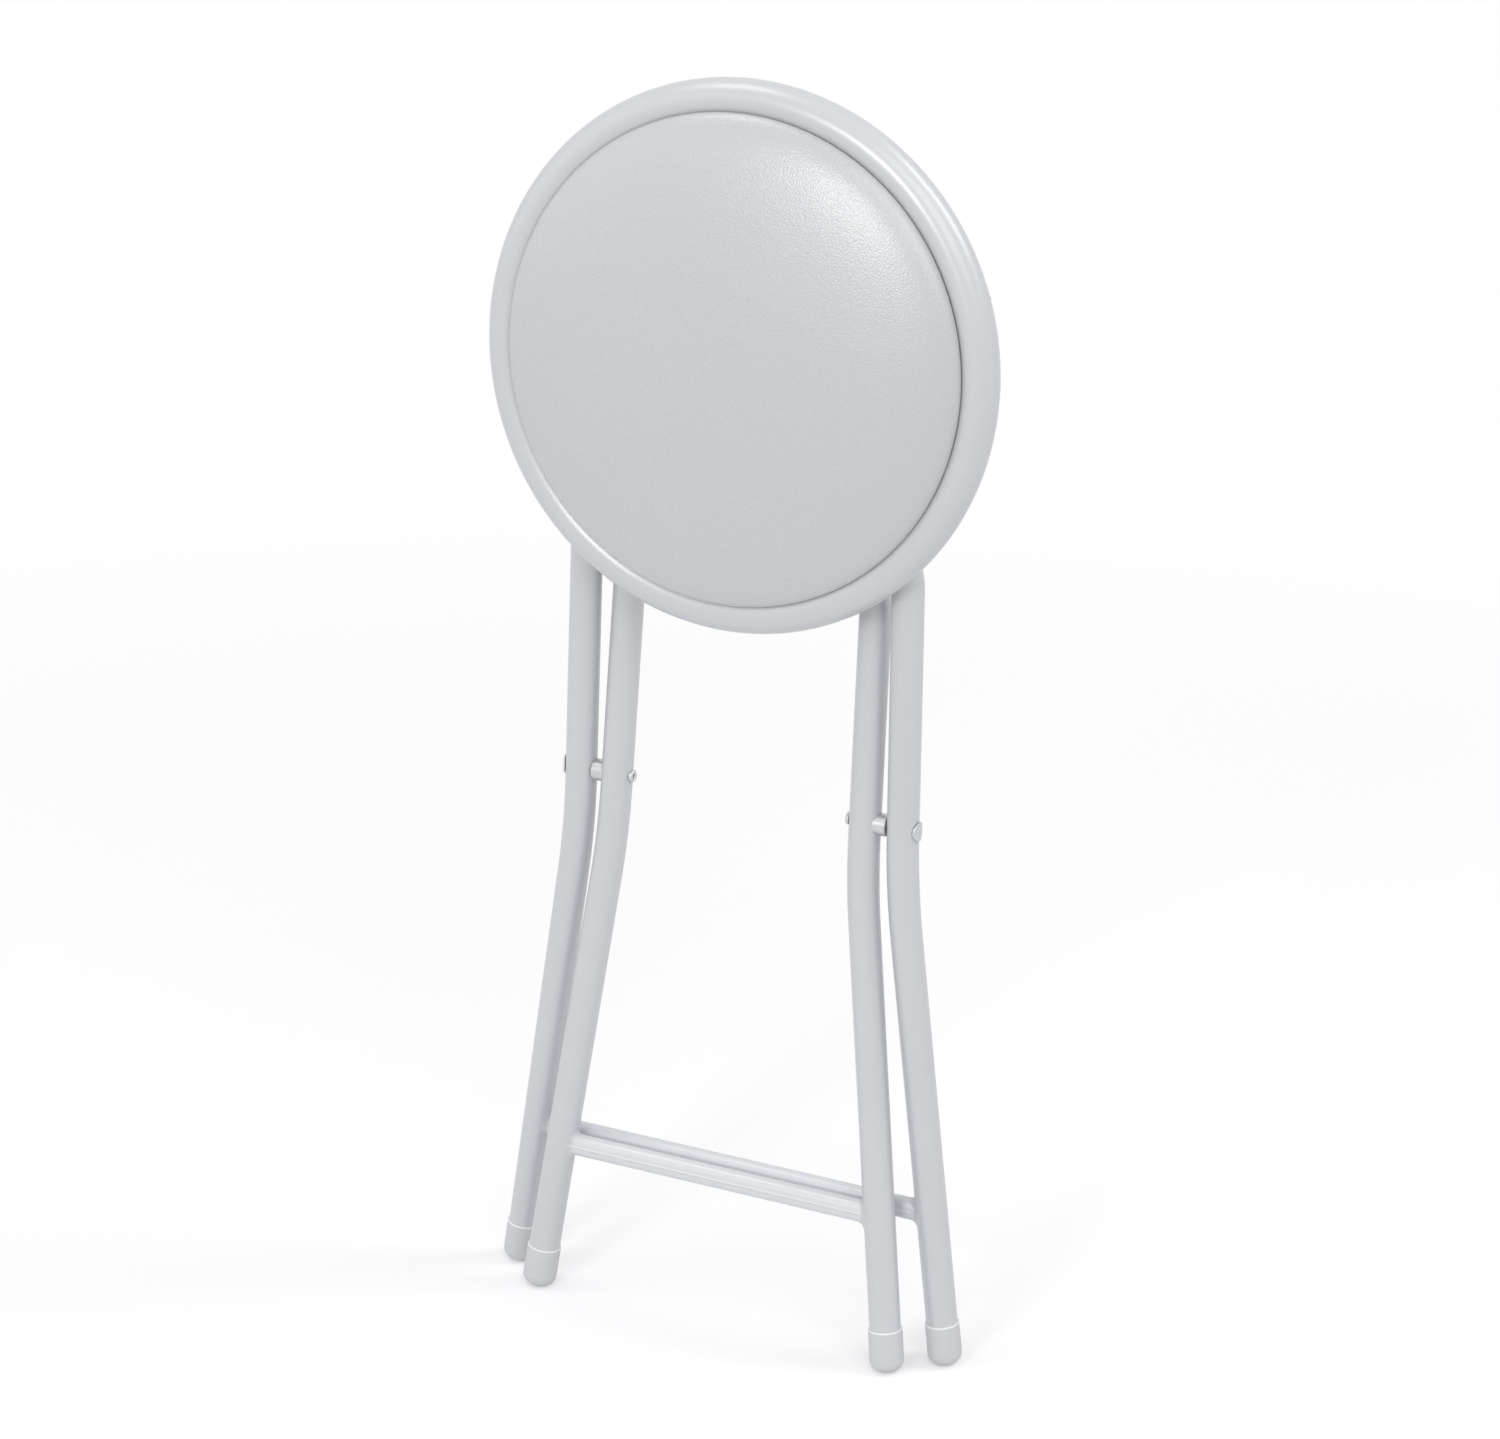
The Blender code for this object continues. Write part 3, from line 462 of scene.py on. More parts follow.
def applied(made):
    """Makes a piece's modifiers part of its mesh."""
    bpy.context.view_layer.update()
    graph = bpy.context.evaluated_depsgraph_get()
    mesh = bpy.data.meshes.new_from_object(made.evaluated_get(graph))
    made.modifiers.clear()
    made.data = mesh
    return made


def altered(made, kind, sharp_from, **settings):
    """Changes a piece's shape by a modifier, and shades it anew."""
    set_all(made.modifiers.new("change", kind), settings)
    shaded(applied(made).data, sharp_from)


def rounded(made, width):
    """Softens a piece's edges."""
    limit = math.radians(35)
    altered(made, "BEVEL", 50, width=width, segments=2, limit_method="ANGLE", angle_limit=limit)


def piece(name, shape, axes, finish, body, *stands_for, sharp_from=40):
    """A finished piece from a shape."""
    return finished(loose(name, shape, axes, sharp_from), finish, body, *stands_for)


def cut(made, cutter):
    """Takes a cutter's shape out of a piece."""
    altered(made, "BOOLEAN", 40, operation="DIFFERENCE", solver="EXACT", object=cutter)
    bpy.data.objects.remove(cutter, do_unlink=True)


def finished(made, finish, body, *stands_for):
    """Gives a piece its finish, its body and the nodes that it stands for."""
    made.data.materials.clear()
    made.data.materials.append(finish)
    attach(made, body)
    if stands_for:
        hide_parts(*stands_for)
    return made


# Geometry Nodes


def tree_with(name, inputs):
    """A Geometry Nodes tree that takes a geometry, (name, kind, value) inputs and a material."""
    tree = bpy.data.node_groups.new(name, "GeometryNodeTree")
    for label, kind, value in [("Geometry", "Geometry", None), *inputs, ("Material", "Material", None)]:
        socket = tree.interface.new_socket(label, in_out="INPUT", socket_type=f"NodeSocket{kind}")
        if value is not None:
            socket.default_value = value
    tree.interface.new_socket("Geometry", in_out="OUTPUT", socket_type="NodeSocketGeometry")
    nodes = Nodes(tree)
    return tree, nodes, nodes.add("NodeGroupInput").outputs


def grown(name, tree, source, values):
    """A plain piece that a tree grows on a source mesh."""
    made = placed(name, source)
    modifier = made.modifiers.new("grow", "NODES")
    modifier.node_group = tree
    for item in tree.interface.items_tree:
        if item.in_out == "INPUT" and item.name in values:
            modifier[item.identifier] = values[item.name]
    return applied(made)


def circle(nodes, points, radius):
    """A circle's curve."""
    inputs = {"Resolution": points, "Radius": radius}
    return nodes.add("GeometryNodeCurvePrimitiveCircle", inputs).outputs["Curve"]


def swept(nodes, curve, profile, scale=None):
    """Curve to Mesh with filled ends, thicker or thinner along it where a scale is given."""
    inputs = {"Curve": curve, "Profile Curve": profile, "Fill Caps": True}
    node = nodes.add("GeometryNodeCurveToMesh", inputs)
    if scale is not None:
        nodes.link(scale, node, "Scale")
    return node.outputs["Mesh"]


def point_number(nodes, name):
    """A number that each point carries."""
    return nodes.put("GeometryNodeInputNamedAttribute", {"Name": name}, data_type="FLOAT")


def strewn(nodes, points, instance, over=0.0):
    """An instance on each point, spun by its own turn, and tipped over."""
    spin = nodes.put("ShaderNodeCombineXYZ", {"X": over, "Z": point_number(nodes, "turn")})
    inputs = {"Points": points, "Instance": instance, "Rotation": spin}
    return nodes.put("GeometryNodeInstanceOnPoints", inputs)


def smoothed(nodes, geometry, material):
    """Smooth shading and a material, as the tree's output."""
    smooth = nodes.put("GeometryNodeSetShadeSmooth", {"Geometry": geometry})
    real = nodes.put("GeometryNodeRealizeInstances", {"Geometry": smooth})
    coat = nodes.put("GeometryNodeSetMaterial", {"Geometry": real, "Material": material})
    nodes.add("NodeGroupOutput", {"Geometry": coat})


def ring_tree():
    """A tube bent round into a ring."""
    tree, nodes, given = tree_with("bent_ring", [
        ("Ring Radius", "Float", 0.1), ("Tube Radius", "Float", 0.01),
        ("Steps", "Int", 64), ("Sides", "Int", 16),
    ])
    line = circle(nodes, given["Steps"], given["Ring Radius"])
    tube = circle(nodes, given["Sides"], given["Tube Radius"])
    smoothed(nodes, swept(nodes, line, tube), given["Material"])
    return tree


def bead_tree():
    """Weld beads: each run of edges becomes a rope of overlapping pools."""
    tree, nodes, given = tree_with("weld_bead", [
        ("Bead Radius", "Float", 0.001),
        ("Pool Pitch", "Float", 0.0015),
        ("Pool Depth", "Float", 0.2),
    ])
    run = nodes.put("GeometryNodeMeshToCurve", {"Mesh": given["Geometry"]})
    step = {"Curve": run, "Length": nodes.maths("MULTIPLY", given["Pool Pitch"], 0.2)}
    fine = nodes.put("GeometryNodeResampleCurve", step, mode="LENGTH")
    along = nodes.add("GeometryNodeSplineParameter").outputs["Length"]
    wave = nodes.maths("FRACT", nodes.maths("DIVIDE", along, given["Pool Pitch"]))
    dip = nodes.maths("MULTIPLY", nodes.maths("POWER", wave, 2.0), given["Pool Depth"])
    spot = nodes.put("GeometryNodeInputPosition")
    lump = nodes.noise(spot, scale=320.0, detail=1.0)
    size = nodes.maths("SUBTRACT", nodes.maths("ADD", lump, 0.7), dip)
    section = circle(nodes, 12, given["Bead Radius"])
    smoothed(nodes, swept(nodes, fine, section, size), given["Material"])
    return tree


def staple_tree():
    """A wire staple on each point, turned by the point's own angle."""
    tree, nodes, given = tree_with("staples", [
        ("Crown Width", "Float", 0.01),
        ("Wire Radius", "Float", 0.0004),
        ("Leg Length", "Float", 0.001),
    ])
    near, far = [nodes.maths("MULTIPLY", given["Crown Width"], share) for share in (0.5, -0.5)]
    up = nodes.maths("MULTIPLY", given["Wire Radius"], -1.6)
    down = given["Leg Length"]

    def point(x, z):
        return nodes.put("ShaderNodeCombineXYZ", {"X": x, "Z": z})

    wire = nodes.put("GeometryNodeCurvePrimitiveBezierSegment", {
        "Resolution": 14, "Start": point(far, down), "Start Handle": point(far, up),
        "End Handle": point(near, up), "End": point(near, down),
    })
    staple = swept(nodes, wire, circle(nodes, 8, given["Wire Radius"]))
    smoothed(nodes, strewn(nodes, given["Geometry"], staple), given["Material"])
    return tree


def screw_tree():
    """The same screw on each point, turned by its own angle, and over where its point is flipped."""
    tree, nodes, given = tree_with("screws", [("Screw", "Object", None)])
    screw = nodes.add("GeometryNodeObjectInfo", {"Object": given["Screw"]}).outputs["Geometry"]
    many = strewn(nodes, given["Geometry"], screw, over=point_number(nodes, "flip"))
    smoothed(nodes, many, given["Material"])
    return tree


def points_mesh(name, places, **numbers):
    """A mesh of loose points, each with its own named numbers."""
    mesh = bpy.data.meshes.new(name)
    mesh.from_pydata([tuple(place) for place in places], [], [])
    for label, values in numbers.items():
        mesh.attributes.new(label, "FLOAT", "POINT").data.foreach_set("value", values)
    return mesh


def runs_mesh(name, runs):
    """A mesh of edges: each run is (points, closed)."""
    points = []
    edges = []
    for run, closed in runs:
        start = len(points)
        points += [tuple(p) for p in run]
        edges += [(k, k + 1) for k in range(start, len(points) - 1)]
        if closed:
            edges.append((len(points) - 1, start))
    mesh = bpy.data.meshes.new(name)
    mesh.from_pydata(points, edges, [])
    return mesh


BEADS = bead_tree()


def weld(name, runs, axes, body, radius, pitch=0.0017, depth=0.22):
    """Painted weld beads along runs of points in a set of axes."""
    made = grown(name, BEADS, runs_mesh(name, runs), {
        "Bead Radius": radius, "Pool Pitch": pitch, "Pool Depth": depth, "Material": PAINT,
    })
    made.data.transform(axes)
    return finished(made, PAINT, body)


# The two U frames


class Legs:
    """The lines of one U frame, in its own axes: the pivot at the origin, +Z up along the legs."""

    def __init__(self, half_width, top, taper, splay, lean):
        self.half_width = half_width
        self.top = top
        self.taper = taper
        self.splay = splay
        self.knee = half_width + math.tan(taper) * KNEE_DROP
        self.sole = -SOLE_CENTRE / math.cos(lean)

    def leg_x(self, z):
        """The lower leg's centre at a height below the knee."""
        return self.knee + math.tan(self.splay) * (-KNEE_DROP - z)

    def foot(self, past_sole):
        """The point on the leg's line, as far up from the sole's ball as past_sole."""
        z = self.sole + past_sole * math.cos(self.splay)
        return (self.leg_x(z), z)

    def path(self):
        """The tube's centre line, from the left foot over the top bar to the right foot."""
        corner = (self.half_width - math.tan(self.taper) * self.top, self.top)
        foot = self.foot(CAP_FLOOR - CAP_SOLE_RADIUS + GAP)
        right = [corner, (self.knee, -KNEE_DROP), foot]
        left = [(-x, z) for x, z in reversed(right)]
        radii = [KNEE_RADIUS, CORNER_RADIUS, CORNER_RADIUS, KNEE_RADIUS]
        return evenly(rounded_path(left + right, radii), TUBE_STEP)


def rounded_path(corners, radii):
    """Corners (x, z) joined by straight runs, with an arc in place of each inner corner."""
    points = [Vector(corners[0])]
    for before, corner, after, radius in zip(corners, corners[1:], corners[2:], radii):
        before, corner, after = Vector(before), Vector(corner), Vector(after)
        back = (before - corner).normalized()
        ahead = (after - corner).normalized()
        half = back.angle(ahead) / 2
        centre = corner + (back + ahead).normalized() * radius / math.sin(half)
        start = corner + back * radius / math.tan(half) - centre
        end = corner + ahead * radius / math.tan(half) - centre
        sweep = start.angle(end)
        for k in range(CORNER_STEPS + 1):
            share = k / CORNER_STEPS
            arm = start * math.sin((1 - share) * sweep) + end * math.sin(share * sweep)
            points.append(centre + arm / math.sin(sweep))
    points.append(Vector(corners[-1]))
    return points


def evenly(points, step):
    """Extra points along the straight runs of a path."""
    dense = [points[0]]
    for start, end in zip(points, points[1:]):
        count = max(1, round((end - start).length / step))
        dense += [start.lerp(end, k / count) for k in range(1, count + 1)]
    return dense


def tube_along(path):
    """A hollow tube along a path in the XZ plane, open at both ends."""
    shape = bmesh.new()
    skins = []
    for radius in (TUBE_RADIUS, TUBE_RADIUS - TUBE_WALL):
        rings = []
        for k, point in enumerate(path):
            along = (path[min(k + 1, len(path) - 1)] - path[max(k - 1, 0)]).normalized()
            side = Vector((-along.y, along.x))
            ring = []
            for out, deep in arc((0, 0), radius, 0, 2 * math.pi, TUBE_SIDES)[:-1]:
                spot = point + side * out
                ring.append(shape.verts.new((spot.x, deep, spot.y)))
            rings.append(ring)
        join_rings(shape, rings)
        skins.append(rings)
    for end in (0, -1):
        join_rings(shape, [skins[0][end], skins[1][end]])
    return shape


def stretcher_section():
    """Outline of the pressed tube: round corners, and a rib on its front and its back."""
    half_depth = STRETCHER_DEPTH / 2
    centre = (half_depth - STRETCHER_CORNER, STRETCHER_HEIGHT / 2 - STRETCHER_CORNER)
    steps = 8
    quarter = arc(centre, STRETCHER_CORNER, 0, math.pi / 2, steps)
    rib = []
    for k in range(-steps, steps + 1):
        share = k / (2 * steps)
        raised = STRETCHER_RIB * math.cos(math.pi * share) ** 2
        rib.append((half_depth + raised, STRETCHER_RIB_WIDTH * share))
    above = (half_depth, (centre[1] + STRETCHER_RIB_WIDTH / 2) / 2)
    upper = [above, *quarter, (0, STRETCHER_HEIGHT / 2)]
    upper += [(-y, z) for y, z in reversed([above, *quarter])]
    back = [(-y, -z) for y, z in rib]
    return rib + upper + back + [(-y, -z) for y, z in upper]


def outward(outline):
    """The direction out of a closed outline at each of its points."""
    around = zip(outline[-1:] + outline[:-1], outline[1:] + outline[:1])
    return [Vector((z - past_z, past_y - y)).normalized() for (past_y, past_z), (y, z) in around]


def at_leg(legs, side, y, height, clearance):
    """A point beside a leg, as far off its tube as the clearance."""
    to_leg = math.sqrt((TUBE_RADIUS + clearance) ** 2 - y**2) / math.cos(legs.splay)
    return Vector((side * (legs.leg_x(height) - to_leg), y, height))


def weld_fillet(legs, side, above, below, phase):
    """The hollow weld round one end of a cross bar, deeper above and below it than at its sides."""
    section = stretcher_section()
    directed = list(zip(section, outward(section)))
    shape = bmesh.new()
    rings = []
    steps = 10
    sunk = 0.0004
    for k in range(-1, steps + 2):
        turn = math.pi / 2 * min(max(k, 0), steps) / steps
        ring = []
        for number, ((y, z), out) in enumerate(directed):
            deep = above if out.y > 0 else below
            angle = 2 * math.pi * number / len(section)
            ripple = math.sin(9 * angle + phase) + 0.7 * math.sin(17 * angle + 2 * phase)
            size = (FILLET_AT_SIDE + (deep - FILLET_AT_SIDE) * out.y**2) * (1 + FILLET_RIPPLE * ripple)
            swell = size * (1 - math.cos(turn)) - (sunk if k < 1 else 0.0)
            clearance = size * (1 - math.sin(turn)) - (sunk if k > steps - 1 else 0.0)
            height = z + out.y * swell - STRETCHER_DROP
            ring.append(shape.verts.new(at_leg(legs, side, y + out.x * swell, height, clearance)))
        rings.append(ring)
    inside = []
    for (y, z), out in directed:
        height = z - out.y * 2 * sunk - STRETCHER_DROP
        inside.append(shape.verts.new(at_leg(legs, side, y - out.x * 2 * sunk, height, -2 * sunk)))
    rings.append(inside)
    join_rings(shape, rings, closed_path=True)
    return shape


def make_stretcher(name, legs, axes, body, fillets):
    """The cross bar, and the weld round each of its ends: (above, below, phase)."""
    outline = stretcher_section()
    ends = [[at_leg(legs, side, y, z - STRETCHER_DROP, 0.0) for y, z in outline] for side, _ in SIDES]
    bar = between(*ends, steps=12)
    # The bar takes the paler copy of the paint, its painted light.
    piece(f"{name}_cross_bar", bar, axes, BAR_PAINT_WITH_PAINTED_LIGHT, body, f"{name}_stretcher")
    for (side, word), sizes in zip(SIDES, fillets):
        fillet = weld_fillet(legs, side, *sizes)
        piece(f"{name}_cross_bar_weld_{word}", fillet, axes, PAINT, body, sharp_from=60)


def cap_profile():
    """A foot cap's section, from its sole up to the bead at its mouth and down its bore."""
    sole_low = -CAP_SOLE_RADIUS
    mouth = sole_low + CAP_LENGTH
    bore = TUBE_RADIUS - 0.0001
    floor = sole_low + CAP_FLOOR
    middle = CAP_RADIUS - CAP_SHOULDER
    drop = math.sqrt((CAP_SOLE_RADIUS - CAP_SHOULDER) ** 2 - middle**2)
    turn = math.atan2(-drop, middle)
    ball = arc((0, 0), CAP_SOLE_RADIUS, -math.pi / 2, turn, 8)[1:]
    shoulder = arc((middle, -drop), CAP_SHOULDER, turn, 0, 12)[1:]
    bead = arc((CAP_RADIUS - CAP_BEAD, mouth - CAP_BEAD), CAP_BEAD, -math.pi / 4, math.pi / 2, 8)
    return [
        (0, sole_low),
        *ball,
        *shoulder,
        (CAP_RADIUS - CAP_NECK, mouth - 3 * CAP_BEAD),
        *bead,
        (bore, mouth - 0.0001),
        (bore, floor),
        (0, floor),
    ]


def make_cap(name, legs, side, axes, body):
    """A moulded cap over a leg's end, flat under its sole where the folded stool stands."""
    cap = turned(cap_profile())
    x, z = legs.foot(0)
    lean = Matrix.Translation((x, 0, z)) @ Matrix.Rotation(-legs.splay, 4, "Y")
    mirror = Matrix.Diagonal((side, 1, 1, 1))
    mouth = CAP_LENGTH - CAP_SOLE_RADIUS
    mouth_highlight = cap.verts.layers.float.new("mouth_highlight")
    # The bead at the mouth is marked for a painted highlight.
    for vert in cap.verts:
        vert[mouth_highlight] = 1.0 if vert.co.z > mouth - CAP_PAINTED_HIGHLIGHT else 0.0
    made = loose(f"{name}_boot", cap, axes @ mirror @ lean)
    for vert in made.data.vertices:
        vert.co.z = max(vert.co.z, 0.0)
    return finished(made, PLASTIC, body, name)


def make_legs(name, legs, axes, fillets):
    """One U frame with its cross bar and foot caps."""
    piece(f"{name}_tube", tube_along(legs.path()), axes, PAINT, name, f"{name}_frame")
    make_stretcher(name, legs, axes, name, fillets)
    for side, word in SIDES:
        make_cap(f"foot_cap_{name}_{word}", legs, side, axes, name)


# Rivets


def rivet_profile():
    """A rivet's section from the bottom of its tail's bore to the top of its dome."""
    outside = OUTER_HALF_WIDTH + TUBE_RADIUS + GAP
    inside = INNER_HALF_WIDTH - TUBE_RADIUS - GAP
    tail = inside - RIVET_TAIL_HEIGHT
    lip = (RIVET_TAIL_RADIUS - RIVET_BORE_RADIUS) / 2
    roll = arc((RIVET_BORE_RADIUS + lip, tail + lip), lip, math.pi, 2 * math.pi, 10)
    skirt = 0.0005
    neck = RIVET_HEAD_RADIUS - 3 * RIVET_GROOVE
    soft = 0.0002
    under = outside - GAP + RIVET_GROOVE
    dome = arc((0, 0), 1, 0, math.pi / 2, 10)[:-1]
    rise = RIVET_HEAD_HEIGHT - RIVET_HEAD_EDGE
    edge = outside + RIVET_HEAD_EDGE
    return [
        (0, tail + RIVET_BORE_DEPTH),
        (RIVET_BORE_RADIUS * 0.6, tail + RIVET_BORE_DEPTH - 0.0003),
        (RIVET_BORE_RADIUS, tail + RIVET_BORE_DEPTH - 0.0010),
        *roll,
        (RIVET_TAIL_RADIUS, inside + skirt),
        (RIVET_RADIUS, inside + skirt),
        (RIVET_RADIUS, outside - skirt),
        (neck, outside - skirt),
        (neck, under),
        (RIVET_HEAD_RADIUS - soft, under),
        (RIVET_HEAD_RADIUS, under + soft),
        *[(RIVET_HEAD_RADIUS * out, edge + rise * up) for out, up in dome],
        (0, outside + RIVET_HEAD_HEIGHT),
    ]


def bent_to_tube(shape, low, high):
    """Bends what lies between two heights of a shape to the round of a leg above it."""
    for vert in shape.verts:
        if low < vert.co.z < high:
            vert.co.z -= TUBE_RADIUS - math.sqrt(TUBE_RADIUS**2 - vert.co.y**2)
    return shape


def bush_profile():
    """The bush between the legs, with a chamfer at each end."""
    near = INNER_HALF_WIDTH + TUBE_RADIUS - GAP
    far = OUTER_HALF_WIDTH - TUBE_RADIUS + GAP
    bore = RIVET_RADIUS + GAP
    chamfer = SPACER_CHAMFER
    return [
        (bore, near),
        (SPACER_RADIUS - chamfer, near),
        (SPACER_RADIUS, near + chamfer),
        (SPACER_RADIUS, far - chamfer),
        (SPACER_RADIUS - chamfer, far),
        (bore, far),
    ]


def make_rivets():
    """A rivet through both legs and a bush between them, on each side."""
    along = Matrix.Rotation(math.pi / 2, 4, "Y")
    head = OUTER_HALF_WIDTH + TUBE_RADIUS - GAP
    middle = (INNER_HALF_WIDTH + OUTER_HALF_WIDTH) / 2
    for side, word in SIDES:
        mirror = Matrix.Diagonal((side, 1, 1, 1))
        axes = OUTER_AXES @ mirror @ along
        rivet = bent_to_tube(turned(rivet_profile()), head, math.inf)
        piece(f"rivet_{word}", rivet, axes, ZINC, "outer", f"pivot_rivet_{word}")
        axes = INNER_AXES @ mirror @ along
        bush = bent_to_tube(turned(bush_profile(), closed=True), 0.0, middle)
        piece(f"bush_{word}", bush, axes, ZINC, "inner", f"pivot_spacer_{word}")


# The seat, in the flat seat's axes


def make_rim():
    """The ring, with a drain hole underneath and the ground-off weld where its ends meet."""
    ring = grown("seat_ring", ring_tree(), bpy.data.meshes.new("seat_ring"), {
        "Ring Radius": RIM_RADIUS, "Tube Radius": RIM_TUBE_RADIUS, "Steps": 360, "Sides": 88,
        "Material": PAINT,
    })
    ring.data.transform(SEAT_AXES @ Matrix.Translation((0, SEAT_REACH, SEAT_DROP)))
    low, high = -2 * RIM_DRILL_DEPTH, 2 * RIM_DRILL_DEPTH
    profile = [(0, low), (RIM_DRILL_RADIUS, low), (RIM_DRILL_RADIUS, high), (0, high)]
    place = Matrix.Translation((0, SEAT_REACH + RIM_RADIUS, SEAT_DROP - RIM_TUBE_RADIUS))
    cut(ring, loose("drill", turned(profile, 24), SEAT_AXES @ place))
    finished(ring, PAINT, "seat", "seat_rim")
    outward = Vector((math.cos(RIM_SEAM_TURN), math.sin(RIM_SEAM_TURN), 0))
    middle = outward * RIM_RADIUS + SEAT_MIDDLE
    sunk = 0.0008
    under = arc((0, 0), RIM_TUBE_RADIUS - sunk, math.radians(-160), math.radians(-10), 40)
    seam = [middle + outward * out + Vector((0, 0, SEAT_DROP + up)) for out, up in under]
    weld("ring_seam", [(seam, False)], SEAT_AXES, "seat", radius=0.0010, depth=0.12)


def rail_outline(middle):
    """A pressed channel's section, flanges up, with round folds."""
    half = RAIL_WIDTH / 2
    inner = max(RAIL_BEND - RAIL_SHEET, 0.0004)
    low = RAIL_BOTTOM
    left, right = middle - half, middle + half
    points = [(left, RAIL_TOP)]
    points += arc((left + RAIL_BEND, low + RAIL_BEND), RAIL_BEND, math.pi, 1.5 * math.pi, 6)
    points += arc((right - RAIL_BEND, low + RAIL_BEND), RAIL_BEND, 1.5 * math.pi, 2 * math.pi, 6)
    points += [(right, RAIL_TOP), (right - RAIL_SHEET, RAIL_TOP)]
    centre = low + RAIL_SHEET + inner
    points += arc((right - RAIL_SHEET - inner, centre), inner, 2 * math.pi, 1.5 * math.pi, 4)
    points += arc((left + RAIL_SHEET + inner, centre), inner, 1.5 * math.pi, math.pi, 4)
    points += [(left + RAIL_SHEET, RAIL_TOP)]
    return points


def reach_of_ring(y, z):
    """How far out along X the inside of the ring lies."""
    inner = RIM_RADIUS - math.sqrt(max(RIM_TUBE_RADIUS**2 - (z - SEAT_DROP) ** 2, 0.0))
    return math.sqrt(inner**2 - (y - SEAT_REACH) ** 2)


def make_rail(name, middle):
    """A channel across the ring, coped to it, with a weld bead at each end."""
    outline = rail_outline(middle)
    ends = [[Vector((side * reach_of_ring(y, z), y, z)) for y, z in outline] for side, _ in SIDES]
    piece(f"{name}_channel", between(*ends), SEAT_AXES, PAINT, "seat", name, sharp_from=30)
    below = RAIL_TOP - 0.001
    face = evenly([Vector(p) for p in outline[:16] if p[1] < below], step=0.0015)
    reach = [(reach_of_ring(y, z) - BEAD_SINK, y, z - BEAD_SINK) for y, z in face]
    runs = [([(side * x, y, z) for x, y, z in reach], False) for side, _ in SIDES]
    weld(f"{name}_welds", runs, SEAT_AXES, "seat", radius=0.0013)


def make_hinge_loops():
    """Straps round the outer frame's top bar, welded to the hinge rail along both feet."""
    outer = BAR_SEAT + LOOP_SHEET
    top = RAIL_BOTTOM + 0.0001
    toe = 0.0004
    short = 0.001
    outline = [(outer, top), (BAR_SEAT, top)]
    outline += arc((0, 0), BAR_SEAT, 0, -math.pi, 36)
    outline += [(-BAR_SEAT, top), (-outer, top)]
    outline += arc((0, 0), outer, -math.pi, 0, 36)
    runs = []
    for side, word in SIDES:
        low, high = side * LOOP_PLACE - LOOP_WIDTH / 2, side * LOOP_PLACE + LOOP_WIDTH / 2
        strap = loose(f"hinge_strap_{word}", prism_along_x(outline, low, high), SEAT_AXES)
        rounded(strap, width=0.0004)
        finished(strap, PAINT, "seat", f"hinge_loop_{word}")
        for foot in (-1, 1):
            line = [(x, foot * (outer + toe), top - toe) for x in (low + short, high - short)]
            runs.append((line, False))
    weld("hinge_strap_welds", runs, SEAT_AXES, "seat", radius=0.0012)


def saddle_outline():
    """A saddle's side view: a head under the rail, and a hollow for the bar that opens to the front."""
    centre = (REST_PLACE, -REST_DEPTH)
    wall = BAR_SEAT + SADDLE_WALL
    bridge = centre[1] + wall
    top = RAIL_BOTTOM - GAP * 0.5
    half_head = SADDLE_HEAD_WIDTH / 2
    outline = arc(centre, BAR_SEAT, SADDLE_LIP_ANGLE, SADDLE_MOUTH_ANGLE, 36)
    outline += arc(centre, wall, SADDLE_MOUTH_ANGLE, SADDLE_FRONT_ANGLE, 4)
    outline += [(REST_PLACE - half_head, bridge), (REST_PLACE - half_head, top)]
    outline += [(REST_PLACE + half_head, top), (REST_PLACE + half_head, bridge)]
    outline += arc(centre, wall, SADDLE_BACK_ANGLE, SADDLE_LIP_ANGLE, 10)
    return outline


def make_saddles():
    """Moulded saddles that take the inner frame's top bar when the stool is open."""
    for side, word in SIDES:
        middle = side * SADDLE_PLACE
        low, high = middle - SADDLE_WIDTH / 2, middle + SADDLE_WIDTH / 2
        block = loose(f"saddle_{word}", prism_along_x(saddle_outline(), low, high), SEAT_AXES)
        rounded(block, width=0.0007)
        finished(block, PLASTIC, "seat", f"rest_saddle_{word}")


def cross_recess(depth):
    """A cross recess for a driver, as a cutter about Z, its mouth at 0."""
    arm, reach = 0.00052, 0.00175
    narrowing = 0.45
    past_mouth = 0.001
    outline = []
    for k in range(4):
        turn = Matrix.Rotation(k * math.pi / 2, 2)
        outline += [turn @ Vector(p) for p in ((arm, arm), (reach, arm), (reach, -arm))][::-1]
    top = [Vector((p.x, p.y, past_mouth)) for p in outline]
    low = [Vector((p.x * narrowing, p.y * narrowing, -depth)) for p in outline]
    return between(top, low)


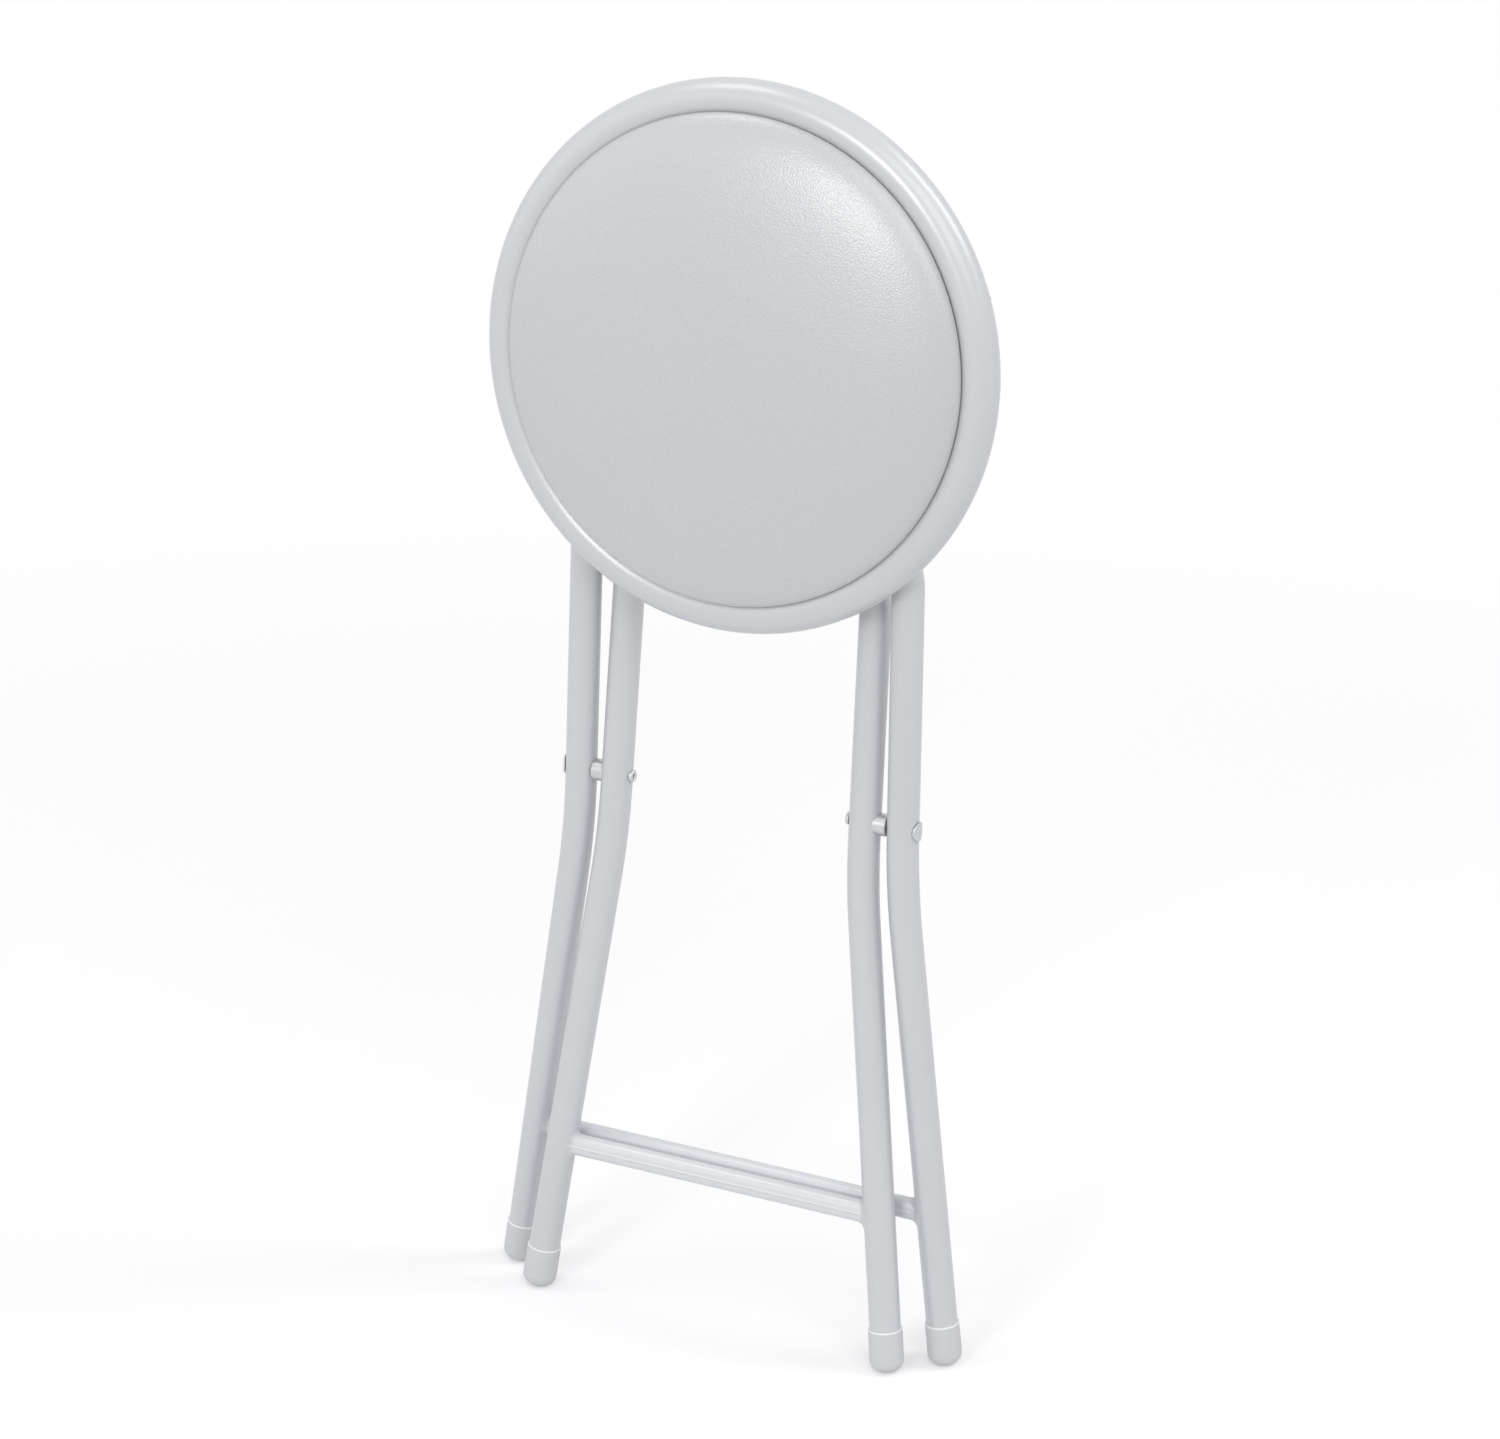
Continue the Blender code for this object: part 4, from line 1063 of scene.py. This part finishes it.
def make_screws():
    """Pan-head screws: four up into the board and two down into the saddles."""
    dome = arc((0, 0), 1, math.radians(12), math.pi / 2, 10)[:-1]
    stub = 0.004
    head = [(0, stub), (SCREW_RADIUS, stub), (SCREW_RADIUS, 0), (SCREW_HEAD_RADIUS, 0)]
    head += [(SCREW_HEAD_RADIUS * out, -SCREW_HEAD_HEIGHT * up) for out, up in dome]
    head += [(0, -SCREW_HEAD_HEIGHT)]
    blank = loose("screw_blank", turned(head, 40), Matrix.Identity(4))
    facing = Matrix.Translation((0, 0, -SCREW_HEAD_HEIGHT)) @ Matrix.Rotation(math.pi, 4, "X")
    cut(blank, loose("driver", cross_recess(depth=0.0016), facing))
    rows = [(*HINGE_SCREW_PLACE, RAIL_BOTTOM), (REST_SCREW_PLACE, REST_PLACE, RAIL_BOTTOM)]
    rows.append((SADDLE_PLACE, REST_PLACE, RAIL_BOTTOM + RAIL_SHEET))
    places = [(side * x, y, z) for x, y, z in rows for side, _ in SIDES]
    turns = [0.3, 1.1, 0.7, 2.0, 0.2, 0.9]
    flips = [0.0, 0.0, 0.0, 0.0, math.pi, math.pi]
    source = points_mesh("screws", places, turn=turns, flip=flips)
    made = grown("seat_screws", screw_tree(), source, {"Screw": blank, "Material": ZINC})
    bpy.data.objects.remove(blank, do_unlink=True)
    made.data.transform(SEAT_AXES)
    stands_for = [f"board_screw_{k}" for k in (1, 2, 3, 4)] + ["saddle_screw_left", "saddle_screw_right"]
    finished(made, ZINC, "seat", *stands_for)


def make_board():
    """The plywood disc under the pad."""
    soft = 0.0012
    profile = [(0, BOARD_BOTTOM)]
    profile += arc((BOARD_RADIUS - soft, BOARD_BOTTOM + soft), soft, -math.pi / 2, 0, 5)
    profile += arc((BOARD_RADIUS - soft, BOARD_TOP - soft), soft, 0, math.pi / 2, 5)
    profile += [(0, BOARD_TOP)]
    piece("ply_board", turned(profile, 160), MIDDLE_AXES, PLYWOOD, "seat", "seat_board")


def crown_height(share):
    """The crown's height at a share of the pad's radius."""
    inside = max(0.0, 1.0 - min(share, 1.0) ** PAD_FULLNESS)
    return PAD_EDGE + PAD_CROWN * inside ** (1 / PAD_FULLNESS)


def pad_grid():
    """The cover's top as a grid wrapped to a disc: points, faces, and the rim in order."""
    count = PAD_CELLS
    points = []
    for j in range(count + 1):
        for i in range(count + 1):
            x, y = 2 * i / count - 1, 2 * j / count - 1
            u, v = x * math.sqrt(1 - y * y / 2), y * math.sqrt(1 - x * x / 2)
            share = math.hypot(u, v)
            bunch = math.sin(share * math.pi / 2) / share if share > 0 else math.pi / 2
            out = min(share * bunch, 1.0)
            scale = out / share if share > 0 else 0.0
            points.append(Vector((u * scale * PAD_RADIUS, v * scale * PAD_RADIUS, crown_height(out))))
    row = count + 1
    faces = [(j * row + i, j * row + i + 1, (j + 1) * row + i + 1, (j + 1) * row + i)
             for j in range(count) for i in range(count)]
    rim = [*range(count), *(j * row + count for j in range(count))]
    rim += [*(count * row + i for i in range(count, 0, -1)), *(j * row for j in range(count, 0, -1))]
    return points, faces, rim


CLOTH = {
    "quality": 6, "mass": 0.3, "tension_stiffness": 15, "compression_stiffness": 15,
    "shear_stiffness": 5, "bending_stiffness": 2, "use_pressure": True, "uniform_pressure_force": 4.0,
}


def inflated(points, faces, rim, cap=0.0025, frames=20):
    """The cover drawn tight over its foam: a cloth held round its rim and pressed out from below."""
    mesh = bpy.data.meshes.new("cover_cloth")
    mesh.from_pydata(points, [], faces)
    cloth_piece = placed("cover_cloth", mesh)
    held = cloth_piece.vertex_groups.new(name="held")
    held.add(rim, 1.0, "REPLACE")
    cloth = cloth_piece.modifiers.new("cloth", "CLOTH")
    set_all(cloth.settings, CLOTH)
    cloth.settings.vertex_group_mass = "held"
    cloth.settings.effector_weights.gravity = 0.0
    cloth.point_cache.frame_start = 1
    cloth.point_cache.frame_end = frames
    for number in range(1, frames + 1):
        SCENE.frame_set(number)
    graph = bpy.context.evaluated_depsgraph_get()
    result = cloth_piece.evaluated_get(graph).to_mesh()
    pressed = [vert.co.copy() for vert in result.vertices]
    SCENE.frame_set(1)
    bpy.data.objects.remove(cloth_piece, do_unlink=True)
    shifts = []
    for before, after in zip(points, pressed):
        shift = after - before
        if shift.length > cap:
            shift = shift.normalized() * cap
        shifts.append(shift)
    return [before + shift for before, shift in zip(points, drawn_taut(shifts))]


def drawn_taut(shifts, rounds=30):
    """The cloth's shifts evened out between neighbours, as on a cover that is drawn taut."""
    row = PAD_CELLS + 1
    for _ in range(rounds):
        eased = list(shifts)
        for j in range(1, PAD_CELLS):
            for i in range(1, PAD_CELLS):
                k = j * row + i
                eased[k] = (shifts[k - 1] + shifts[k + 1] + shifts[k - row] + shifts[k + row]) / 4
        shifts = eased
    return shifts


def pleat(angle, share):
    """How far the hem puckers down at an angle round it and a share of its width."""
    count, depth = 40, 0.0009
    wobble = 0.5 * math.sin(3 * angle + 0.7) + 0.3 * math.sin(7 * angle + 2.0)
    ridge = max(0.0, math.cos(count * angle + wobble)) ** 3
    return depth * ridge * share


def at_rail(y):
    """Whether one of the rails crosses the flat seat as far from the hinge as y."""
    near = RAIL_WIDTH / 2 + 0.003
    return any(abs(y - middle) < near for middle in (0.0, REST_PLACE))


def make_cushion():
    """The padded cover: crowned, drawn in at the ring, and turned under the board in a puckered hem."""
    points, faces, rim = pad_grid()
    points = inflated(points, faces, rim)
    shape = bmesh.new()
    verts = [shape.verts.new(p) for p in points]
    for face in faces:
        shape.faces.new([verts[k] for k in face])
    edge = [verts[k] for k in rim]
    angles = [math.atan2(vert.co.y, vert.co.x) for vert in edge]
    start = math.pi - math.acos((RIM_RADIUS - PAD_RADIUS) / COVER_ROLL)
    side = arc((RIM_RADIUS, SEAT_DROP), COVER_ROLL, start, math.pi, 6)[1:]
    hem_steps = 8
    profile = [(out, up, 0.0) for out, up in side if up > HEM_BOTTOM + 0.001]
    profile.append((PAD_SIDE, HEM_BOTTOM + 0.0004, 0.0))
    for k in range(hem_steps + 1):
        profile.append((PAD_SIDE - HEM_WIDTH * k / hem_steps, HEM_BOTTOM, k / hem_steps))
    inside = BOARD_RADIUS + GAP / 2
    lining = BOARD_TOP + GAP / 2
    profile += [(PAD_SIDE - HEM_WIDTH, HEM_TOP, 0.9), (PAD_SIDE - HEM_WIDTH / 2, HEM_TOP, 0.0)]
    profile += [(inside, HEM_TOP, 0.0), (inside, lining, 0.0), (BOARD_RADIUS / 2, lining, 0.0)]
    rings = [edge]
    for out, up, share in profile:
        ring = []
        for angle in angles:
            x, y = out * math.cos(angle), out * math.sin(angle)
            drop = 0.0 if at_rail(y + SEAT_REACH) else pleat(angle, share)
            ring.append(shape.verts.new((x, y, up - drop)))
        rings.append(ring)
    join_rings(shape, rings)
    middle = shape.verts.new((0, 0, lining))
    last = rings[-1]
    for vert, after in zip(last, last[1:] + last[:1]):
        shape.faces.new((vert, after, middle))
    cushion = loose("padded_cover", shape, MIDDLE_AXES, sharp_from=60)
    soft = cushion.modifiers.new("soft", "SUBSURF")
    soft.levels = soft.render_levels = 1
    applied(cushion)
    finished(cushion, LEATHER, "seat", "cushion_cover", "cushion_foam")


def make_staples():
    """Staples round the hem, clear of the rails."""
    count = 30
    ring = PAD_SIDE - 0.62 * HEM_WIDTH
    places = []
    turns = []
    for k in range(count):
        angle = 2 * math.pi * (k + 0.5) / count
        x, y = ring * math.cos(angle), ring * math.sin(angle)
        if at_rail(y + SEAT_REACH):
            continue
        places.append((x, y + SEAT_REACH, HEM_BOTTOM - 0.0002))
        turns.append(angle + math.pi / 2 + 0.12 * math.sin(5.0 * k))
    source = points_mesh("staples", places, turn=turns)
    made = grown("hem_staples", staple_tree(), source, {
        "Crown Width": 0.0100, "Wire Radius": 0.00045, "Leg Length": 0.0009, "Material": ZINC,
    })
    made.data.transform(SEAT_AXES)
    finished(made, ZINC, "seat")


# The studio


def seen_directly(nodes):
    """1 where the camera, a gloss or a clear material sees a surface, and 0 where it only lights."""
    rays = nodes.add("ShaderNodeLightPath").outputs
    seen = nodes.maths("MAXIMUM", rays["Is Camera Ray"], rays["Is Glossy Ray"])
    return nodes.maths("MAXIMUM", seen, rays["Is Transmission Ray"])


def make_floor():
    """A pale floor that goes over to white away from the stool, and keeps the stool's shadow."""
    shape = bmesh.new()
    bmesh.ops.create_grid(shape, x_segments=1, y_segments=1, size=12.0)
    floor = loose("studio_floor", shape, Matrix.Identity(4))
    made = bpy.data.materials.new("floor")
    nodes = emptied(made)
    seen = seen_directly(nodes)
    place = nodes.add("ShaderNodeTexCoord").outputs["Object"]
    far = nodes.add("ShaderNodeVectorMath", {0: place}, operation="LENGTH").outputs["Value"]
    away = spread(nodes, far, 0.0, 1.0, start=0.6, end=1.6)
    lit = nodes.put("ShaderNodeBsdfDiffuse", {"Color": (0.80, 0.80, 0.805, 1.0)})
    lift = nodes.maths("MULTIPLY", seen, 0.28)
    glow = nodes.put("ShaderNodeEmission", {"Color": WHITE, "Strength": lift})
    near = nodes.put("ShaderNodeAddShader", {0: lit, 1: glow})
    level = spread(nodes, seen, 0.6, 1.0)
    white = nodes.put("ShaderNodeEmission", {"Color": WHITE, "Strength": level})
    both = nodes.put("ShaderNodeMixShader", {0: away, 1: near, 2: white})
    nodes.add("ShaderNodeOutputMaterial", {"Surface": both})
    floor.data.materials.append(made)


def make_world():
    """White where it is seen, and a soft light on everything else, more of it from the front."""
    world = bpy.data.worlds.new("studio")
    SCENE.world = world
    nodes = emptied(world)
    seen = seen_directly(nodes)
    towards = nodes.add("ShaderNodeTexCoord").outputs["Generated"]
    front = nodes.add("ShaderNodeSeparateXYZ", {"Vector": towards}).outputs["Y"]
    strength = spread(nodes, front, 0.42, 0.67, start=1.0, end=-1.0)
    soft = nodes.put("ShaderNodeBackground", {"Color": (0.985, 0.99, 1.0, 1.0), "Strength": strength})
    white = nodes.put("ShaderNodeBackground", {"Color": WHITE, "Strength": 1.0})
    mixed = nodes.put("ShaderNodeMixShader", {0: seen, 1: soft, 2: white})
    nodes.add("ShaderNodeOutputWorld", {"Surface": mixed})


def make_light(name, direction, distance, size, power):
    """A soft box that faces the stool's middle from a direction."""
    lamp = bpy.data.lights.new(name, "AREA")
    lamp.shape = "RECTANGLE"
    lamp.size, lamp.size_y = size
    lamp.energy = power
    made = placed(name, lamp)
    away = Vector(direction).normalized()
    made.location = LAMP_AIM + away * distance
    made.rotation_euler = away.to_track_quat("Z", "Y").to_euler()


def make_camera():
    """The camera at the photograph's angle."""
    back = Vector((
        math.sin(CAMERA_AZIMUTH) * math.cos(CAMERA_ELEVATION),
        -math.cos(CAMERA_AZIMUTH) * math.cos(CAMERA_ELEVATION),
        math.sin(CAMERA_ELEVATION),
    ))
    level = Vector((math.cos(CAMERA_AZIMUTH), math.sin(CAMERA_AZIMUTH), 0))
    turn = Matrix.Rotation(CAMERA_ROLL, 3, back)
    right = turn @ level
    up = turn @ back.cross(level)
    lens = bpy.data.cameras.new("camera")
    lens.sensor_fit = "HORIZONTAL"
    lens.sensor_width = SENSOR_WIDTH
    lens.lens = FOCAL_LENGTH_PX / PHOTO_WIDTH_PX * SENSOR_WIDTH
    made = placed("camera", lens)
    axes = Matrix((right, up, back)).transposed().to_4x4()
    axes.translation = PIVOT + level * AIM_RIGHT + Vector((0, 0, AIM_UP)) + back * CAMERA_DISTANCE
    made.matrix_world = axes
    SCENE.camera = made


def main():
    """The whole stool and its studio."""
    outer = Legs(OUTER_HALF_WIDTH, HINGE_REACH, OUTER_TAPER, OUTER_SPLAY, 0.0)
    inner = Legs(INNER_HALF_WIDTH, REST_REACH, INNER_TAPER, INNER_SPLAY, FOLDED_ANGLE)
    make_legs("outer", outer, OUTER_AXES, [(0.0022, 0.0024, 0.4), (0.0042, 0.0044, 1.9)])
    make_legs("inner", inner, INNER_AXES, [(0.0020, 0.0026, 2.6), (0.0030, 0.0046, 5.1)])
    make_rivets()
    make_rim()
    make_rail("hinge_rail", 0.0)
    make_rail("rest_rail", REST_PLACE)
    make_hinge_loops()
    make_saddles()
    make_screws()
    make_board()
    make_cushion()
    make_staples()
    make_floor()
    make_world()
    for lamp in LAMPS:
        make_light(*lamp)
    make_camera()
    SCENE.view_settings.view_transform = "Standard"


main()
